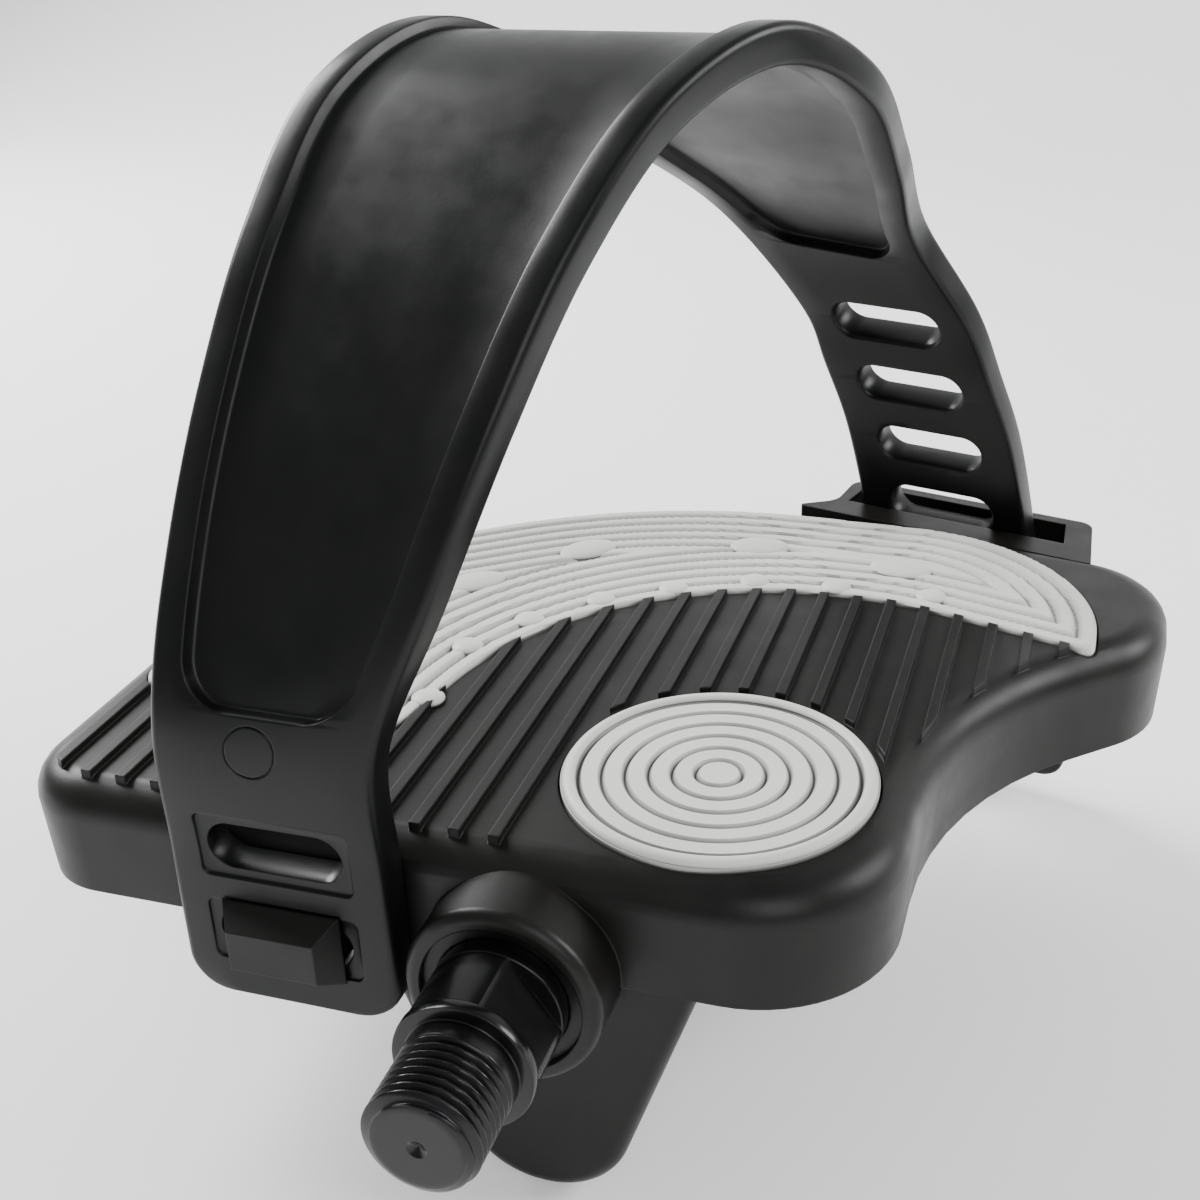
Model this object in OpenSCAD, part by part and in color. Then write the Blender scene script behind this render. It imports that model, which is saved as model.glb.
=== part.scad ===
// Exercise bike pedal: moulded platform with a weighted keel, two soft pads, a hooked rubber strap
// and a spindle that runs in two rows of balls.
// Frame: origin on the spindle axis at the seating face of the flange, +Y outboard, +Z up,
// +X towards the heel of the foot.

/* [Spindle] */
// Crest diameter of the crank thread
thread_d = 14.28; // [13:0.01:16]
// Length of the threaded end, from its chamfer to the flange
thread_len = 11.8; // [10:0.1:16]
// Flat diameter left at the tip of the thread
nose_d = 11.6; // [8:0.1:12.5]
// Length of the chamfer at the tip
nose_len = 1; // [0.5:0.1:2]
// Diameter of the seating flange
flange_d = 17.8; // [17.6:0.1:20]
// Thickness of the seating flange
flange_t = 1.8; // [1:0.1:3]
// Diameter of the neck behind the flange
neck_d = 17.4; // [15.8:0.1:17.5]
// Distance across the two wrench flats
flat_af = 13; // [12.5:0.1:15.5]
// Length of the wrench flats
flat_len = 8.7; // [6:0.1:9.5]
// Turn of the wrench flats about the axis
flat_turn = -34; // [-60:1:60]
// Diameter of the plain shaft between the bearings
shaft_d = 11; // [9:0.1:11.2]
// Diameter of the thread for the cone and the locknut
tail_d = 8; // [7:0.1:9]
// Length of the tail thread past the locknut
tail_over = 1; // [0.5:0.1:3]

/* [Bearings] */
// Ball diameter
ball_d = 3.969; // [3.9:0.001:4]
// Running gap between a ball and each race
race_gap = 0.03; // [0.02:0.005:0.05]
// Step in from the neck to the crank-side ball circle
neck_step = 1; // [0.9:0.05:1.05]
// Place of the crank-side ball row along the axis
inner_ball_y = 19.5; // [19:0.1:21]
// Balls in the crank-side row
inner_balls_n = 10; // [8:1:10]
// Pitch radius of the outboard ball row
outer_pitch_r = 6.6; // [6.5:0.05:6.8]
// Place of the outboard ball row along the axis
outer_ball_y = 91; // [88:0.5:94]
// Balls in the outboard row
outer_balls_n = 8; // [7:1:8]
// Wall of a bearing cup outside its balls
cup_wall = 0.9; // [0.7:0.1:1.1]
// Depth of a bearing cup behind its balls
cup_back = 3.4; // [3:0.1:4]
// Rise of a bearing cup in front of its balls
cup_front = 2.6; // [2.4:0.1:3]
// Gap of a pressed part in its seat
press_gap = 0.02; // [0.01:0.01:0.03]
// Gap between a ball and the pocket of its cage
pocket_gap = 0.2; // [0.15:0.01:0.25]
// Length of the adjusting cone past its race
cone_len = 4.5; // [4:0.1:6]
// Across flats of the cone and of the locknut
nut_af = 12; // [11:0.1:13]
// Thickness of the keyed lock washer
washer_t = 1; // [0.8:0.1:1.5]
// Thickness of the locknut
locknut_t = 4; // [3:0.1:5]
// Width of the key of the lock washer
key_w = 2; // [1.5:0.1:2.5]
// Depth of the keyway in the tail thread
key_depth = 1; // [0.7:0.1:1.3]
// Gap that lets a part slide over the tail thread
slide_gap = 0.05; // [0.03:0.01:0.1]
// Thickness of the lip seal at the mouth of the barrel
seal_t = 1.6; // [1.2:0.1:1.8]
// Running gap of the seal on the neck
seal_gap = 0.08; // [0.05:0.01:0.1]

/* [Platform] */
// Half the length of the platform along X
half_len = 75.4; // [74:0.2:80]
// Place of the near wall along Y
near_y = 20; // [19.6:0.1:20.4]
// Right-hand edge of the near lobe
lobe_x = 45.3; // [44:0.1:47]
// Corner radius at the left of the near wall
near_r = 12; // [9:0.5:16]
// Corner radius of the near lobe
lobe_r = 20; // [14:0.5:21]
// Corner of the waist along Y
waist_y = 71.5; // [70:0.5:73]
// Radius of the hollow waist
waist_r = 56; // [40:1:60]
// Corner where the heel side flares out
flare_y = 99.5; // [98.5:0.5:101]
// Radius of the flare
flare_r = 18; // [12:0.5:20]
// Far right corner along Y
far_y = 124.5; // [123:0.5:126]
// Radius of the far right corner
far_r = 16; // [12:0.5:18]
// Crown of the far edge: its corner along X
crown_x = -6.1; // [-9:0.1:-3]
// Crown of the far edge: its corner along Y
crown_y = 143.1; // [142:0.1:145]
// Radius of the crown
crown_r = 97; // [80:1:99]
// Far left corner along Y
left_y = 91.8; // [90:0.2:94]
// Radius of the far left corner
left_r = 45; // [30:1:46]
// Height of the deck above the spindle axis
deck_top = 15; // [14.8:0.1:17]
// Lower edge of the skirt
skirt_z = -2; // [-4:0.1:-1]
// Thickness of the skirt wall
wall = 2.6; // [2:0.1:3.2]
// Thickness of the deck
deck_t = 2.9; // [2.7:0.1:3.2]
// Radius of the rounded deck edge
edge_r = 5.2; // [3:0.2:6]
// Inward slope of the skirt from deck to lower edge
draft = 0.6; // [0.2:0.1:1.2]
// Wall of the barrel round the crank-side cup
barrel_wall = 2.3; // [1.9:0.1:3.4]
// Near face of the barrel
barrel_y = 12; // [11.5:0.1:12.5]
// Rounding of the barrel's near rim
barrel_edge = 1.6; // [0.8:0.1:2]
// Radius of the bore between the two cups
bore_r = 8.2; // [7.8:0.1:8.4]
// Depth of the bore past the outboard ball row
barrel_past = 14; // [13:0.5:18]

/* [Deck ribs] */
// Pitch of the foot ribs
rib_pitch = 5.37; // [5:0.01:6]
// Place of the first rib along X
rib_x = -4.1; // [-5:0.1:-3]
// Width of a foot rib
rib_w = 1.5; // [1:0.1:2]
// Height of a foot rib above the deck
rib_h = 1; // [0.5:0.1:1.5]
// Margin of the ribs to the platform's edge
rib_margin = 3.4; // [3:0.2:5]
// Bare strip between the ribs and the round pad
rib_gap = 1.3; // [1:0.1:2]
// Distance from the crown of the platform back to where the ribs stop
rib_top = 42.6; // [42:0.1:44]
// Ribs to the left of the first one
ribs_left = 12; // [8:1:12]
// Ribs to the right of the first one
ribs_right = 12; // [8:1:12]
// Thickness of the stiffening ribs under the deck
web_t = 1.6; // [1.2:0.1:2]
// Pitch of the stiffening ribs
web_pitch = 22; // [18:1:26]
// Gap from the skirt's lower edge up to the stiffening ribs
web_rise = 2; // [1:0.5:5]

/* [Pads] */
// Centre of the round pad along X
round_x = 19.3; // [18:0.1:20]
// Centre of the round pad along Y
round_y = 44.9; // [44.5:0.1:46]
// Pitch of the rings on the round pad
ring_pitch = 3.1; // [2.6:0.05:3.15]
// Rings on the round pad
rings_n = 6; // [4:1:6]
// Width of the groove between two rings
groove_w = 1; // [0.6:0.1:1.2]
// Depth of the groove between two rings
groove_d = 0.7; // [0.4:0.1:1]
// Width of the flat rim round the crescent pad
crescent_rim = 2.3; // [2:0.1:3]
// Distance from one ridge of the crescent pad to the next
ridge_pitch = 3.1; // [2.9:0.1:3.6]
// Grooves from the rim of the crescent pad inwards
ridges_n = 6; // [4:1:6]
// Radius of the large domes across their short axis
dome_r = 3.4; // [3:0.1:3.8]
// Radius of the small domes
stud_r = 2.5; // [2:0.1:2.8]
// Height of the domes over the ridges
dome_rise = 0.6; // [0.4:0.1:0.9]
// Width of the pad's outer rim, in ring pitches
rim_rings = 0.75; // [0.6:0.05:0.8]
// Depth of the pockets that hold the pads
pocket_d = 1.4; // [1:0.1:1.6]
// Gap round a pad in its pocket
pad_gap = 0.3; // [0.2:0.05:0.5]
// Height of a pad above the deck
pad_rise = 0.7; // [0.4:0.1:1]

/* [Keel] */
// Near face of the keel along Y
keel_y = 22; // [21:0.5:24]
// Depth of the keel along Y
keel_depth = 45; // [34:1:48]
// Half width of the keel at the axis height
keel_half = 23.4; // [22:0.2:25]
// Half width of the keel at its lowest line
keel_foot = 8.7; // [8.4:0.1:11]
// Lowest line of the keel
keel_z = -41; // [-46:0.5:-39]
// Width of the flat at the foot of the keel, between its two round corners
keel_flat = 0.5; // [0.2:0.1:2]
// Rounding of the keel's near face
keel_edge = 2.4; // [1:0.1:2.5]
// Thickness of the keel cover
cover_t = 2.4; // [2:0.1:3]
// Top of the counterweight
weight_top = -14; // [-15:0.1:-13.6]
// Gap round the counterweight and the cover
fit_gap = 0.3; // [0.2:0.05:0.4]
// Distance of the screw bosses in from the top corner of the keel
boss_in = 8; // [7.8:0.1:8.4]
// Centre of the screw bosses along Z
boss_z = -7.6; // [-8:0.1:-7.4]
// Radius of the screw bosses
boss_r = 3; // [2.6:0.1:3.2]
// Length of the screw bosses
boss_len = 16; // [14:1:20]
// Shank diameter of the cover screws
screw_d = 3; // [2.5:0.1:3.2]
// Length of the cover screws under the head
screw_len = 11; // [9:0.5:12]

/* [Strap] */
// Thickness of the strap's legs and rims
strap_t = 5.2; // [4.6:0.1:5.3]
// Half width of the strap's legs
leg_half = 15.3; // [14.6:0.1:15.4]
// Half width added at the crest
crest_extra = 11.3; // [8:0.1:13]
// Width of the raised rims
rim_w = 4.8; // [4:0.1:5.5]
// Depth of the panel under the outer rims
panel_d = 1.6; // [1:0.1:1.8]
// Depth of the hollow behind the panel
hollow_d = 1.7; // [1:0.1:1.8]
// Length of a strap hole
hole_l = 18.8; // [18:0.1:20]
// Width of a strap hole
hole_w = 6.8; // [6.2:0.1:7.4]
// Pitch of the strap holes
hole_pitch = 13.2; // [12.5:0.1:14]
// Centre of the strap's near leg along X
leg_x = -30.2; // [-32:0.1:-30]
// Height of the near hook, and of the lowest strap hole
hook_z = 1.2; // [0.8:0.1:2]
// Gap between the strap and what it seats on
seat_gap = 0.3; // [0.25:0.05:0.4]
// Strap left below its lowest near hole
strap_end = 10.2; // [9:0.1:12]
// Radius of the rounded corners at both ends of the strap
strap_round = 5; // [4:0.5:6]

/* [Hooks and lug] */
// Length of a hook's neck along the strap hole
neck_l = 15; // [13:0.1:15.4]
// Height of a hook's neck
neck_h = 5.4; // [4:0.1:5.6]
// Length of a hook's head
head_l = 16.6; // [15.4:0.1:18.4]
// Height of a hook's head
head_h = 10.3; // [9:0.1:10.6]
// Projection of a hook's head
head_t = 3.7; // [3:0.1:4.2]
// Slope of the head's sides, as an inset of its front face
head_in = 2.2; // [1.5:0.1:2.6]
// Centre of the lug's slot along X
lug_x = 39.3; // [39:0.1:39.6]
// Centre of the lug's slot along Y
lug_y = 139.8; // [139.5:0.1:140.1]
// Turn of the lug from the X direction
lug_turn = 15; // [14.6:0.1:15.4]
// Half length of the lug's slot
slot_half = 19.4; // [19.1:0.1:19.8]
// Width of the lug's slot
slot_w = 7.9; // [7.8:0.1:8.3]
// Bar outside the lug's slot
bar_w = 2.4; // [2:0.1:3]
// Height of the lug's loop
loop_h = 5; // [4:0.1:5.2]
// Height of the far hook
far_hook_z = 4.4; // [4:0.1:4.5]

/* [Hidden] */
over = 1;
turned_fn = 96;
arc_step = 6;
ball_r = ball_d / 2;
cage_r = ball_r + pocket_gap;
keel_r = (keel_foot - keel_flat / 2) / tan(atan2(-keel_z, keel_half - keel_foot) / 2);
// Plan of the platform as corners with radii, counter-clockwise
PLAN = [[-half_len, near_y, near_r], [lobe_x, near_y, lobe_r], [lobe_x, waist_y, waist_r],
  [half_len, flare_y, flare_r], [half_len, far_y, far_r], [crown_x, crown_y, crown_r],
  [-half_len, left_y, left_r]];
// Plan of the crescent pad: its heel tip, its outer bow, its toe end and its inner bow
CRESCENT = [[64.8, 91.2, 2], [64.6, 128.8, 33], [-13.5, 132.2, 84], [-71, 90.4, 42], [-71, 46, 8],
  [-27.3, 43, 6], [-18.5, 101.5, 50], [34, 101.3, 52]];
// Centres of the large domes with the turn of their long axis, and centres of the small ones
LARGE_DOMES = [[-33.9, 91.8, 40], [-19.7, 108.4, 40], [8.6, 116.3, 8], [33, 113, -6]];
SMALL_DOMES = [[-26.2, 54], [-26.6, 70.2], [-20.5, 80.9], [-11.7, 90.3], [-1.4, 97.2], [10.8, 102.7],
  [24, 103.8], [39.2, 103.9]];
// Section of the keel in X and Z
KEEL = [[keel_foot, keel_z, keel_r], [keel_half, 0, 1], [-keel_half, 0, 1], [-keel_foot, keel_z, keel_r]];
// Plan of the lug, in the turned frame of its slot
LUG = [[27, -9.8, 0.5], [22.2, slot_w / 2 + bar_w, 3], [-22.4, slot_w / 2 + bar_w, 3], [-21.4, -4.5, 4],
  [-27, -9.8, 0.5]];
pad_r = ring_pitch * (rings_n + rim_rings);
inner_pitch_r = neck_d / 2 - neck_step;
inner_cup_r = inner_pitch_r + ball_r + cup_wall;
barrel_r = inner_cup_r + barrel_wall;
outer_cup_r = outer_pitch_r + ball_r + cup_wall;
barrel_end = outer_ball_y + barrel_past;
cone_start = outer_ball_y + 0.2;
cone_end = cone_start + cone_len;
washer_end = cone_end + washer_t;
nut_end = washer_end + locknut_t;
spindle_end = nut_end + tail_over;
keel_end = keel_y + keel_depth;
boss_x = keel_half - boss_in;
leg_y = near_y - seat_gap - strap_t;
strap_low = hook_z - strap_end;
lug_top = deck_top - 0.1;
far_out = seat_gap + strap_t - slot_w / 2;

// Arithmetic for corners, insets and arcs
function dir(a, b) = (b - a) / norm(b - a);
function left(v) = [-v[1], v[0]];
function xy(p) = [p[0], p[1]];
function at(list, i) = list[(i + len(list)) % len(list)];
function turn_of(a, b) = atan2(a[0] * b[1] - a[1] * b[0], a * b);
// Corner list moved inwards by d, each radius following
function inset(c, d) = [for (i = [0 : len(c) - 1])
  let (p = xy(at(c, i - 1)), q = xy(c[i]), r = xy(at(c, i + 1)), u = dir(p, q), v = dir(q, r),
    t = turn_of(u, v), s = sign(t), m = (left(u) + left(v)) / (1 + left(u) * left(v)))
  [q[0] + d * m[0], q[1] + d * m[1], max(0.05, c[i][2] - s * d)]];
// Points of a corner list with its corners rounded
function rounded(c) = [for (i = [0 : len(c) - 1])
  let (p = xy(at(c, i - 1)), q = xy(c[i]), r = xy(at(c, i + 1)), u = dir(p, q), v = dir(q, r),
    t = turn_of(u, v), s = sign(t), k = max(1, ceil(abs(t) / arc_step - 0.01)), rad = c[i][2],
    start = q - u * rad * tan(abs(t) / 2), mid = start + s * rad * left(u))
  for (j = [0 : k]) let (a = atan2(u[1], u[0]) + t * j / k) mid + rad * s * [sin(a), -cos(a)]];
function ring(c, d, z) = [for (p = rounded(inset(c, d))) [p[0], p[1], z]];

// Solid through rings of points, each ring counter-clockwise from above; caps may split the end faces
module loft(rings, caps = []) {
  n = len(rings[0]);
  m = len(rings);
  whole = [[for (i = [0 : n - 1]) i]];
  cap = len(caps) > 0 ? caps : whole;
  sides = [for (k = [0 : m - 2]) for (i = [0 : n - 1])
    [k * n + i, (k + 1) * n + i, (k + 1) * n + (i + 1) % n, k * n + (i + 1) % n]];
  tops = [for (c = cap) [for (i = [len(c) - 1 : -1 : 0]) (m - 1) * n + c[i]]];
  polyhedron([for (r = rings) each r], concat(sides, cap, tops), convexity = 10);
}
// Prism on a corner list with a rounded top edge and sloping sides
module soft_prism(c, z0, z1, edge, slope) {
  loft(concat([ring(c, slope, z0)],
    [for (a = [0 : 15 : 90]) ring(c, edge * (1 - cos(a)), z1 - edge + edge * sin(a))]));
}
module flat_prism(c, z0, z1) {
  translate([0, 0, z0]) linear_extrude(height = z1 - z0, convexity = 10) polygon(rounded(c));
}
// Solid of revolution about the spindle axis: profile X is the radius, profile Y lies along +Y
module turned() {
  rotate([-90, 0, 0]) rotate_extrude($fn = turned_fn, convexity = 10) children();
}
module band(r0, r1, y0, y1) {
  translate([r0, y0]) square([r1 - r0, y1 - y0]);
}
module lug_frame() {
  translate([lug_x, lug_y, 0]) rotate([0, 0, -lug_turn]) children();
}

// Hook with its neck along -Y: the strap's hole slips over the head
module hook(reach) {
  translate([-neck_l / 2, -reach, -neck_h / 2]) cube([neck_l, reach + over, neck_h]);
  translate([0, -reach, 0]) rotate([90, 0, 0]) loft([for (k = [0, 1])
    let (x = head_l / 2 - k * head_in, z = head_h / 2 - k * head_in, y = k == 0 ? -0.05 : head_t)
    [[-x, -z, y], [x, -z, y], [x, z, y], [-x, z, y]]]);
}

module deck_ribs() {
  translate([0, 0, deck_top - over]) linear_extrude(height = rib_h + over, convexity = 10) difference() {
    intersection() {
      union() for (i = [-ribs_left : ribs_right])
        translate([rib_x + i * rib_pitch - rib_w / 2, near_y]) square([rib_w, crown_y - near_y]);
      polygon(rounded(inset(PLAN, rib_margin)));
    }
    polygon(rounded(inset(CRESCENT, -pad_gap)));
    translate([round_x, round_y]) circle(r = pad_r + rib_gap, $fn = 64);
    translate([round_x - pad_r - rib_gap, 0]) square([2 * half_len, round_y]);
    translate([-half_len, crown_y - rib_top]) square([2 * half_len, rib_top]);
  }
}
module webs() {
  low = skirt_z + web_rise;
  intersection() {
    union() {
      for (x = [-3 : 3]) translate([x * web_pitch - web_t / 2, near_y, low])
        cube([web_t, crown_y - near_y, deck_top - deck_t - low + 0.2]);
      for (y = [1 : 4]) translate([-half_len, near_y + y * web_pitch - web_t / 2, low])
        cube([2 * half_len, web_t, deck_top - deck_t - low + 0.2]);
    }
    flat_prism(inset(PLAN, wall / 2), low - over, deck_top);
  }
}
module keel_shell() {
  difference() {
    union() {
      difference() {
        translate([0, keel_end, 0]) rotate([90, 0, 0]) soft_prism(KEEL, 0, keel_depth, keel_edge, 0);
        translate([0, keel_end + over, 0]) rotate([90, 0, 0])
          flat_prism(inset(KEEL, wall), 0, keel_depth - wall + over);
      }
      for (s = [-1, 1]) {
        translate([s * boss_x, keel_end - cover_t, boss_z]) rotate([90, 0, 0])
          cylinder(r = boss_r, h = boss_len, $fn = 48);
        translate([s * (keel_half - wall) - (s > 0 ? 0 : wall), keel_y, -wall])
          cube([wall, keel_depth, deck_top - deck_t + wall + 0.2]);
      }
    }
    for (s = [-1, 1]) translate([s * boss_x, keel_end + over, boss_z]) rotate([90, 0, 0])
      cylinder(d = screw_d + 2 * press_gap, h = screw_len + over, $fn = 48);
  }
}
module lug() {
  lug_frame() difference() {
    union() {
      flat_prism(LUG, deck_top - loop_h, lug_top);
      intersection() {
        flat_prism(LUG, skirt_z, lug_top);
        translate([-half_len, -half_len - slot_w / 2, skirt_z - over])
          cube([2 * half_len, half_len, deck_top - skirt_z + 2 * over]);
      }
    }
    translate([0, 0, skirt_z - over]) linear_extrude(height = deck_top - skirt_z + 2 * over)
      polygon([[slot_half + 1.1, -slot_w / 2], [slot_half - 1.1, slot_w / 2], [-slot_half, slot_w / 2],
        [-slot_half, -slot_w / 2]]);
  }
}

// One moulding: deck, skirt, barrel, keel shell, both hooks and the strap lug
module platform() {
  color("#1c1c1a") difference() {
    union() {
      difference() {
        union() {
          soft_prism(PLAN, skirt_z, deck_top, edge_r, draft);
          lug();
        }
        flat_prism(inset(PLAN, wall), skirt_z - over, deck_top - deck_t);
      }
      webs();
      deck_ribs();
      keel_shell();
      turned() difference() {
        band(0, barrel_r, barrel_y, barrel_end);
        difference() {
          band(barrel_r - barrel_edge, barrel_r + over, barrel_y - over, barrel_y + barrel_edge);
          translate([barrel_r - barrel_edge, barrel_y + barrel_edge]) circle(r = barrel_edge, $fn = 48);
        }
      }
      translate([leg_x, near_y, hook_z]) hook(strap_t + 2 * seat_gap);
      lug_frame() translate([0, -slot_w / 2, far_hook_z]) rotate([0, 0, 180]) hook(strap_t + 4 * seat_gap);
    }
    turned() union() {
      band(0, bore_r, barrel_y - over, barrel_end + over);
      band(0, inner_cup_r + press_gap, barrel_y - over, inner_ball_y + cup_back);
      band(0, outer_cup_r + press_gap, outer_ball_y - cup_back, barrel_end + over);
      band(0, barrel_r + 1, barrel_end, barrel_end + 8);
    }
    translate([round_x, round_y, deck_top - pocket_d])
      cylinder(r = pad_r + pad_gap, h = pocket_d + rib_h + over, $fn = turned_fn);
    flat_prism(inset(CRESCENT, -pad_gap), deck_top - pocket_d, deck_top + rib_h + over);
  }
}

module round_pad() {
  top = pocket_d + pad_rise;
  color("#c9c8c4") translate([round_x, round_y, deck_top - pocket_d])
    rotate_extrude($fn = turned_fn, convexity = 10) difference() {
      union() {
        band(0, pad_r, 0, top - pad_rise / 2);
        band(0, ring_pitch * rings_n, 0, top);
        translate([pad_r - ring_pitch * rim_rings / 2, top - pad_rise / 2])
          circle(r = ring_pitch * rim_rings / 2 - 0.2, $fn = 32);
      }
      for (k = [1 : rings_n])
        polygon([[k * ring_pitch - groove_w / 2, top + 0.01], [k * ring_pitch, top - groove_d],
          [k * ring_pitch + groove_w / 2, top + 0.01]]);
    }
}

// Round cap standing on the ridges of the crescent pad
module dome(r, rise, stretch, turn) {
  bow_r = (r * r + rise * rise) / (2 * rise);
  rotate([0, 0, turn]) scale([stretch, 1, 1]) rotate_extrude($fn = 32) intersection() {
    translate([0, rise - bow_r]) circle(r = bow_r, $fn = 64);
    square([r, rise]);
  }
}
module crescent_pad() {
  foot = deck_top + pad_rise - groove_d;
  color("#d6d4d0") union() {
    flat_prism(CRESCENT, deck_top - pocket_d, foot);
    translate([0, 0, foot - 0.4]) linear_extrude(height = groove_d + 0.4, convexity = 10) difference() {
      polygon(rounded(inset(CRESCENT, 0.15)));
      for (k = [0 : ridges_n - 1]) difference() {
        offset(delta = -crescent_rim - k * ridge_pitch) polygon(rounded(CRESCENT));
        offset(delta = -crescent_rim - k * ridge_pitch - groove_w) polygon(rounded(CRESCENT));
      }
    }
    for (p = LARGE_DOMES) translate([p[0], p[1], foot + groove_d - 0.4])
      dome(dome_r, dome_rise + 0.4, 1.5, p[2]);
    for (p = SMALL_DOMES) translate([p[0], p[1], foot + groove_d - 0.4])
      dome(stud_r, dome_rise + 0.3, 1, 0);
  }
}

// Point of the lug's turned frame, along its slot and across it
function lug_point(u, v) = [lug_x + u * cos(lug_turn) + v * sin(lug_turn),
  lug_y - u * sin(lug_turn) + v * cos(lug_turn)];
// Strap knot beside the lug: along the slot, across it, height and turn
function far_knot(u, v, z) = [each lug_point(u, v), z, lug_turn, 0, 0];
// Strap path: centre of the outer face, turn and rise of the cross line, share of the crest's extra width
PATH = [[leg_x, leg_y, strap_low, 0, 0, 0], [leg_x, leg_y, 12, 0, 0, 0], [leg_x + 0.4, leg_y, 31, 0, 0, 0],
  [-26.6, 21.7, 50.5, 8, 1, 0.35], [-22.7, 31, 69.2, 10, 2, 0.58], [-18.2, 42.5, 86.4, 8.5, 1.7, 0.73],
  [-12.8, 57.6, 100.3, 7, 0.5, 0.9], [-4.5, 76, 105.8, 7.5, 0.2, 0.99], [5.2, 93, 98, 9, 1.5, 0.86],
  [11, 109.5, 86.1, 12, -0.9, 0.57], [16.9, 124.6, 72.7, 15.6, -4, 0.19], [27.2, 131.8, 56, 17.5, 0, 0],
  [31.2, 135.2, 44.6, 17, 0, 0], [34.9, 138.7, 32.4, 16, 0, 0], far_knot(-1.9, far_out + 0.5, 16),
  far_knot(0, far_out, far_hook_z), far_knot(2, far_out + 1, -8), far_knot(5.2, far_out + 2.8, -20),
  far_knot(8.6, far_out + 4.6, -34)];
// Depth share and width share of the sunk panel along the path, and of the hollow behind it
PANEL = [[0, 0.04, 0.7], [2.1, 0.04, 0.7], [2.13, 1, 0.7], [2.2, 1, 0.86], [2.35, 1, 0.97], [2.5, 1, 1],
  [10.2, 1, 1], [10.4, 0.04, 0.9], [20, 0.04, 0.9]];
HOLLOW = [[0, 0.04], [1.9, 0.04], [2, 1], [10.2, 1], [10.3, 0.04], [20, 0.04]];
STOPS = [0, 0.03, 0.08, 0.15, 0.24, 0.4, 1, 1.5, 1.9, 2, 2.1, 2.13, 2.2, 2.35, 2.5,
  each [2.75 : 0.25 : 10], 10.2, 10.3, 10.4, each [10.5 : 0.25 : 12], 12.5, 13, 13.33, 13.67,
  each [14 : 0.25 : 15], 15.5, 16, 16.5, 17, 17.4, 17.66, 17.78, 17.88, 17.95, 18];
HOOK_STOP = 15;
function knot(t) = let (i = min(len(PATH) - 2, floor(t)), f = t - i, a = PATH[max(0, i - 1)], b = PATH[i],
  c = PATH[i + 1], d = PATH[min(len(PATH) - 1, i + 2)])
  0.5 * (2 * b + (c - a) * f + (2 * a - 5 * b + 4 * c - d) * f * f + (3 * b - a - 3 * c + d) * f * f * f);
LINE = [for (t = STOPS) knot(t)];
function p3(s) = [s[0], s[1], s[2]];
function cross_dir(s) = [cos(s[3]) * cos(s[4]), -sin(s[3]) * cos(s[4]), sin(s[4])];
function run_dir(i) = let (v = p3(LINE[min(len(LINE) - 1, i + 1)]) - p3(LINE[max(0, i - 1)])) v / norm(v);
function out_dir(i) = let (v = cross(cross_dir(LINE[i]), run_dir(i))) v / norm(v);
// How far the rounded corners of the strap's ends draw its sides in, at a distance from the end
function end_bow(a) = a >= strap_round ? 0 : strap_round - sqrt(strap_round ^ 2 - (strap_round - a) ^ 2);
// One closed section of the strap: outer face with its sunk panel, inner face with its hollow
function section(i) = let (full = leg_half + crest_extra * LINE[i][5], t = STOPS[i],
  w = full - end_bow(min(LENGTHS[i], LENGTHS[len(LINE) - 1] - LENGTHS[i])), r = min(full - rim_w, w - 0.6),
  q = panel_d * lookup(t, [for (p = PANEL) [p[0], p[1]]]),
  g = r * lookup(t, [for (p = PANEL) [p[0], p[2]]]), h = hollow_d * lookup(t, HOLLOW),
  flat = [[-w, 0], [-g, 0], [-g + 0.8, -q], [g - 0.8, -q], [g, 0], [w, 0], [w, -strap_t],
    [r, -strap_t], [r - 1.2, -strap_t + h], [-r + 1.2, -strap_t + h], [-r, -strap_t], [-w, -strap_t]])
  [for (p = flat) p3(LINE[i]) + cross_dir(LINE[i]) * p[0] + out_dir(i) * p[1]];
SPLIT = [[0, 1, 10, 11], [1, 2, 9, 10], [2, 3, 8, 9], [3, 4, 7, 8], [4, 5, 6, 7]];
LENGTHS = [for (i = 0, s = 0; i < len(LINE); i = i + 1,
  s = s + (i < len(LINE) ? norm(p3(LINE[i]) - p3(LINE[i - 1])) : 0)) s];
STATIONS = [for (i = [0 : len(LINE) - 1]) [LENGTHS[i], i]];
hook_length = lookup(HOOK_STOP, [for (i = [0 : len(LINE) - 1]) [STOPS[i], LENGTHS[i]]]);
// Obround cutter across the strap at a length along its path
module strap_hole(s) {
  low = floor(lookup(s, STATIONS));
  f = lookup(s, STATIONS) - low;
  c = p3(LINE[low]) * (1 - f) + p3(LINE[min(len(LINE) - 1, low + 1)]) * f;
  x = cross_dir(LINE[round(low + f)]);
  z = out_dir(round(low + f));
  y = cross(z, x);
  multmatrix([[x[0], y[0], z[0], c[0]], [x[1], y[1], z[1], c[1]], [x[2], y[2], z[2], c[2]], [0, 0, 0, 1]])
    translate([0, 0, -strap_t - over]) linear_extrude(height = strap_t + 2 * over) union() {
      square([hole_l - hole_w, hole_w], center = true);
      for (e = [-1, 1]) translate([e * (hole_l - hole_w) / 2, 0]) circle(d = hole_w, $fn = 24);
    }
}
module strap() {
  color("#161616") difference() {
    loft([for (i = [0 : len(LINE) - 1]) section(i)], SPLIT);
    for (k = [0, 1]) strap_hole(strap_end + k * hole_pitch);
    for (k = [-2 : 4]) strap_hole(hook_length - k * hole_pitch);
  }
}

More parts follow.
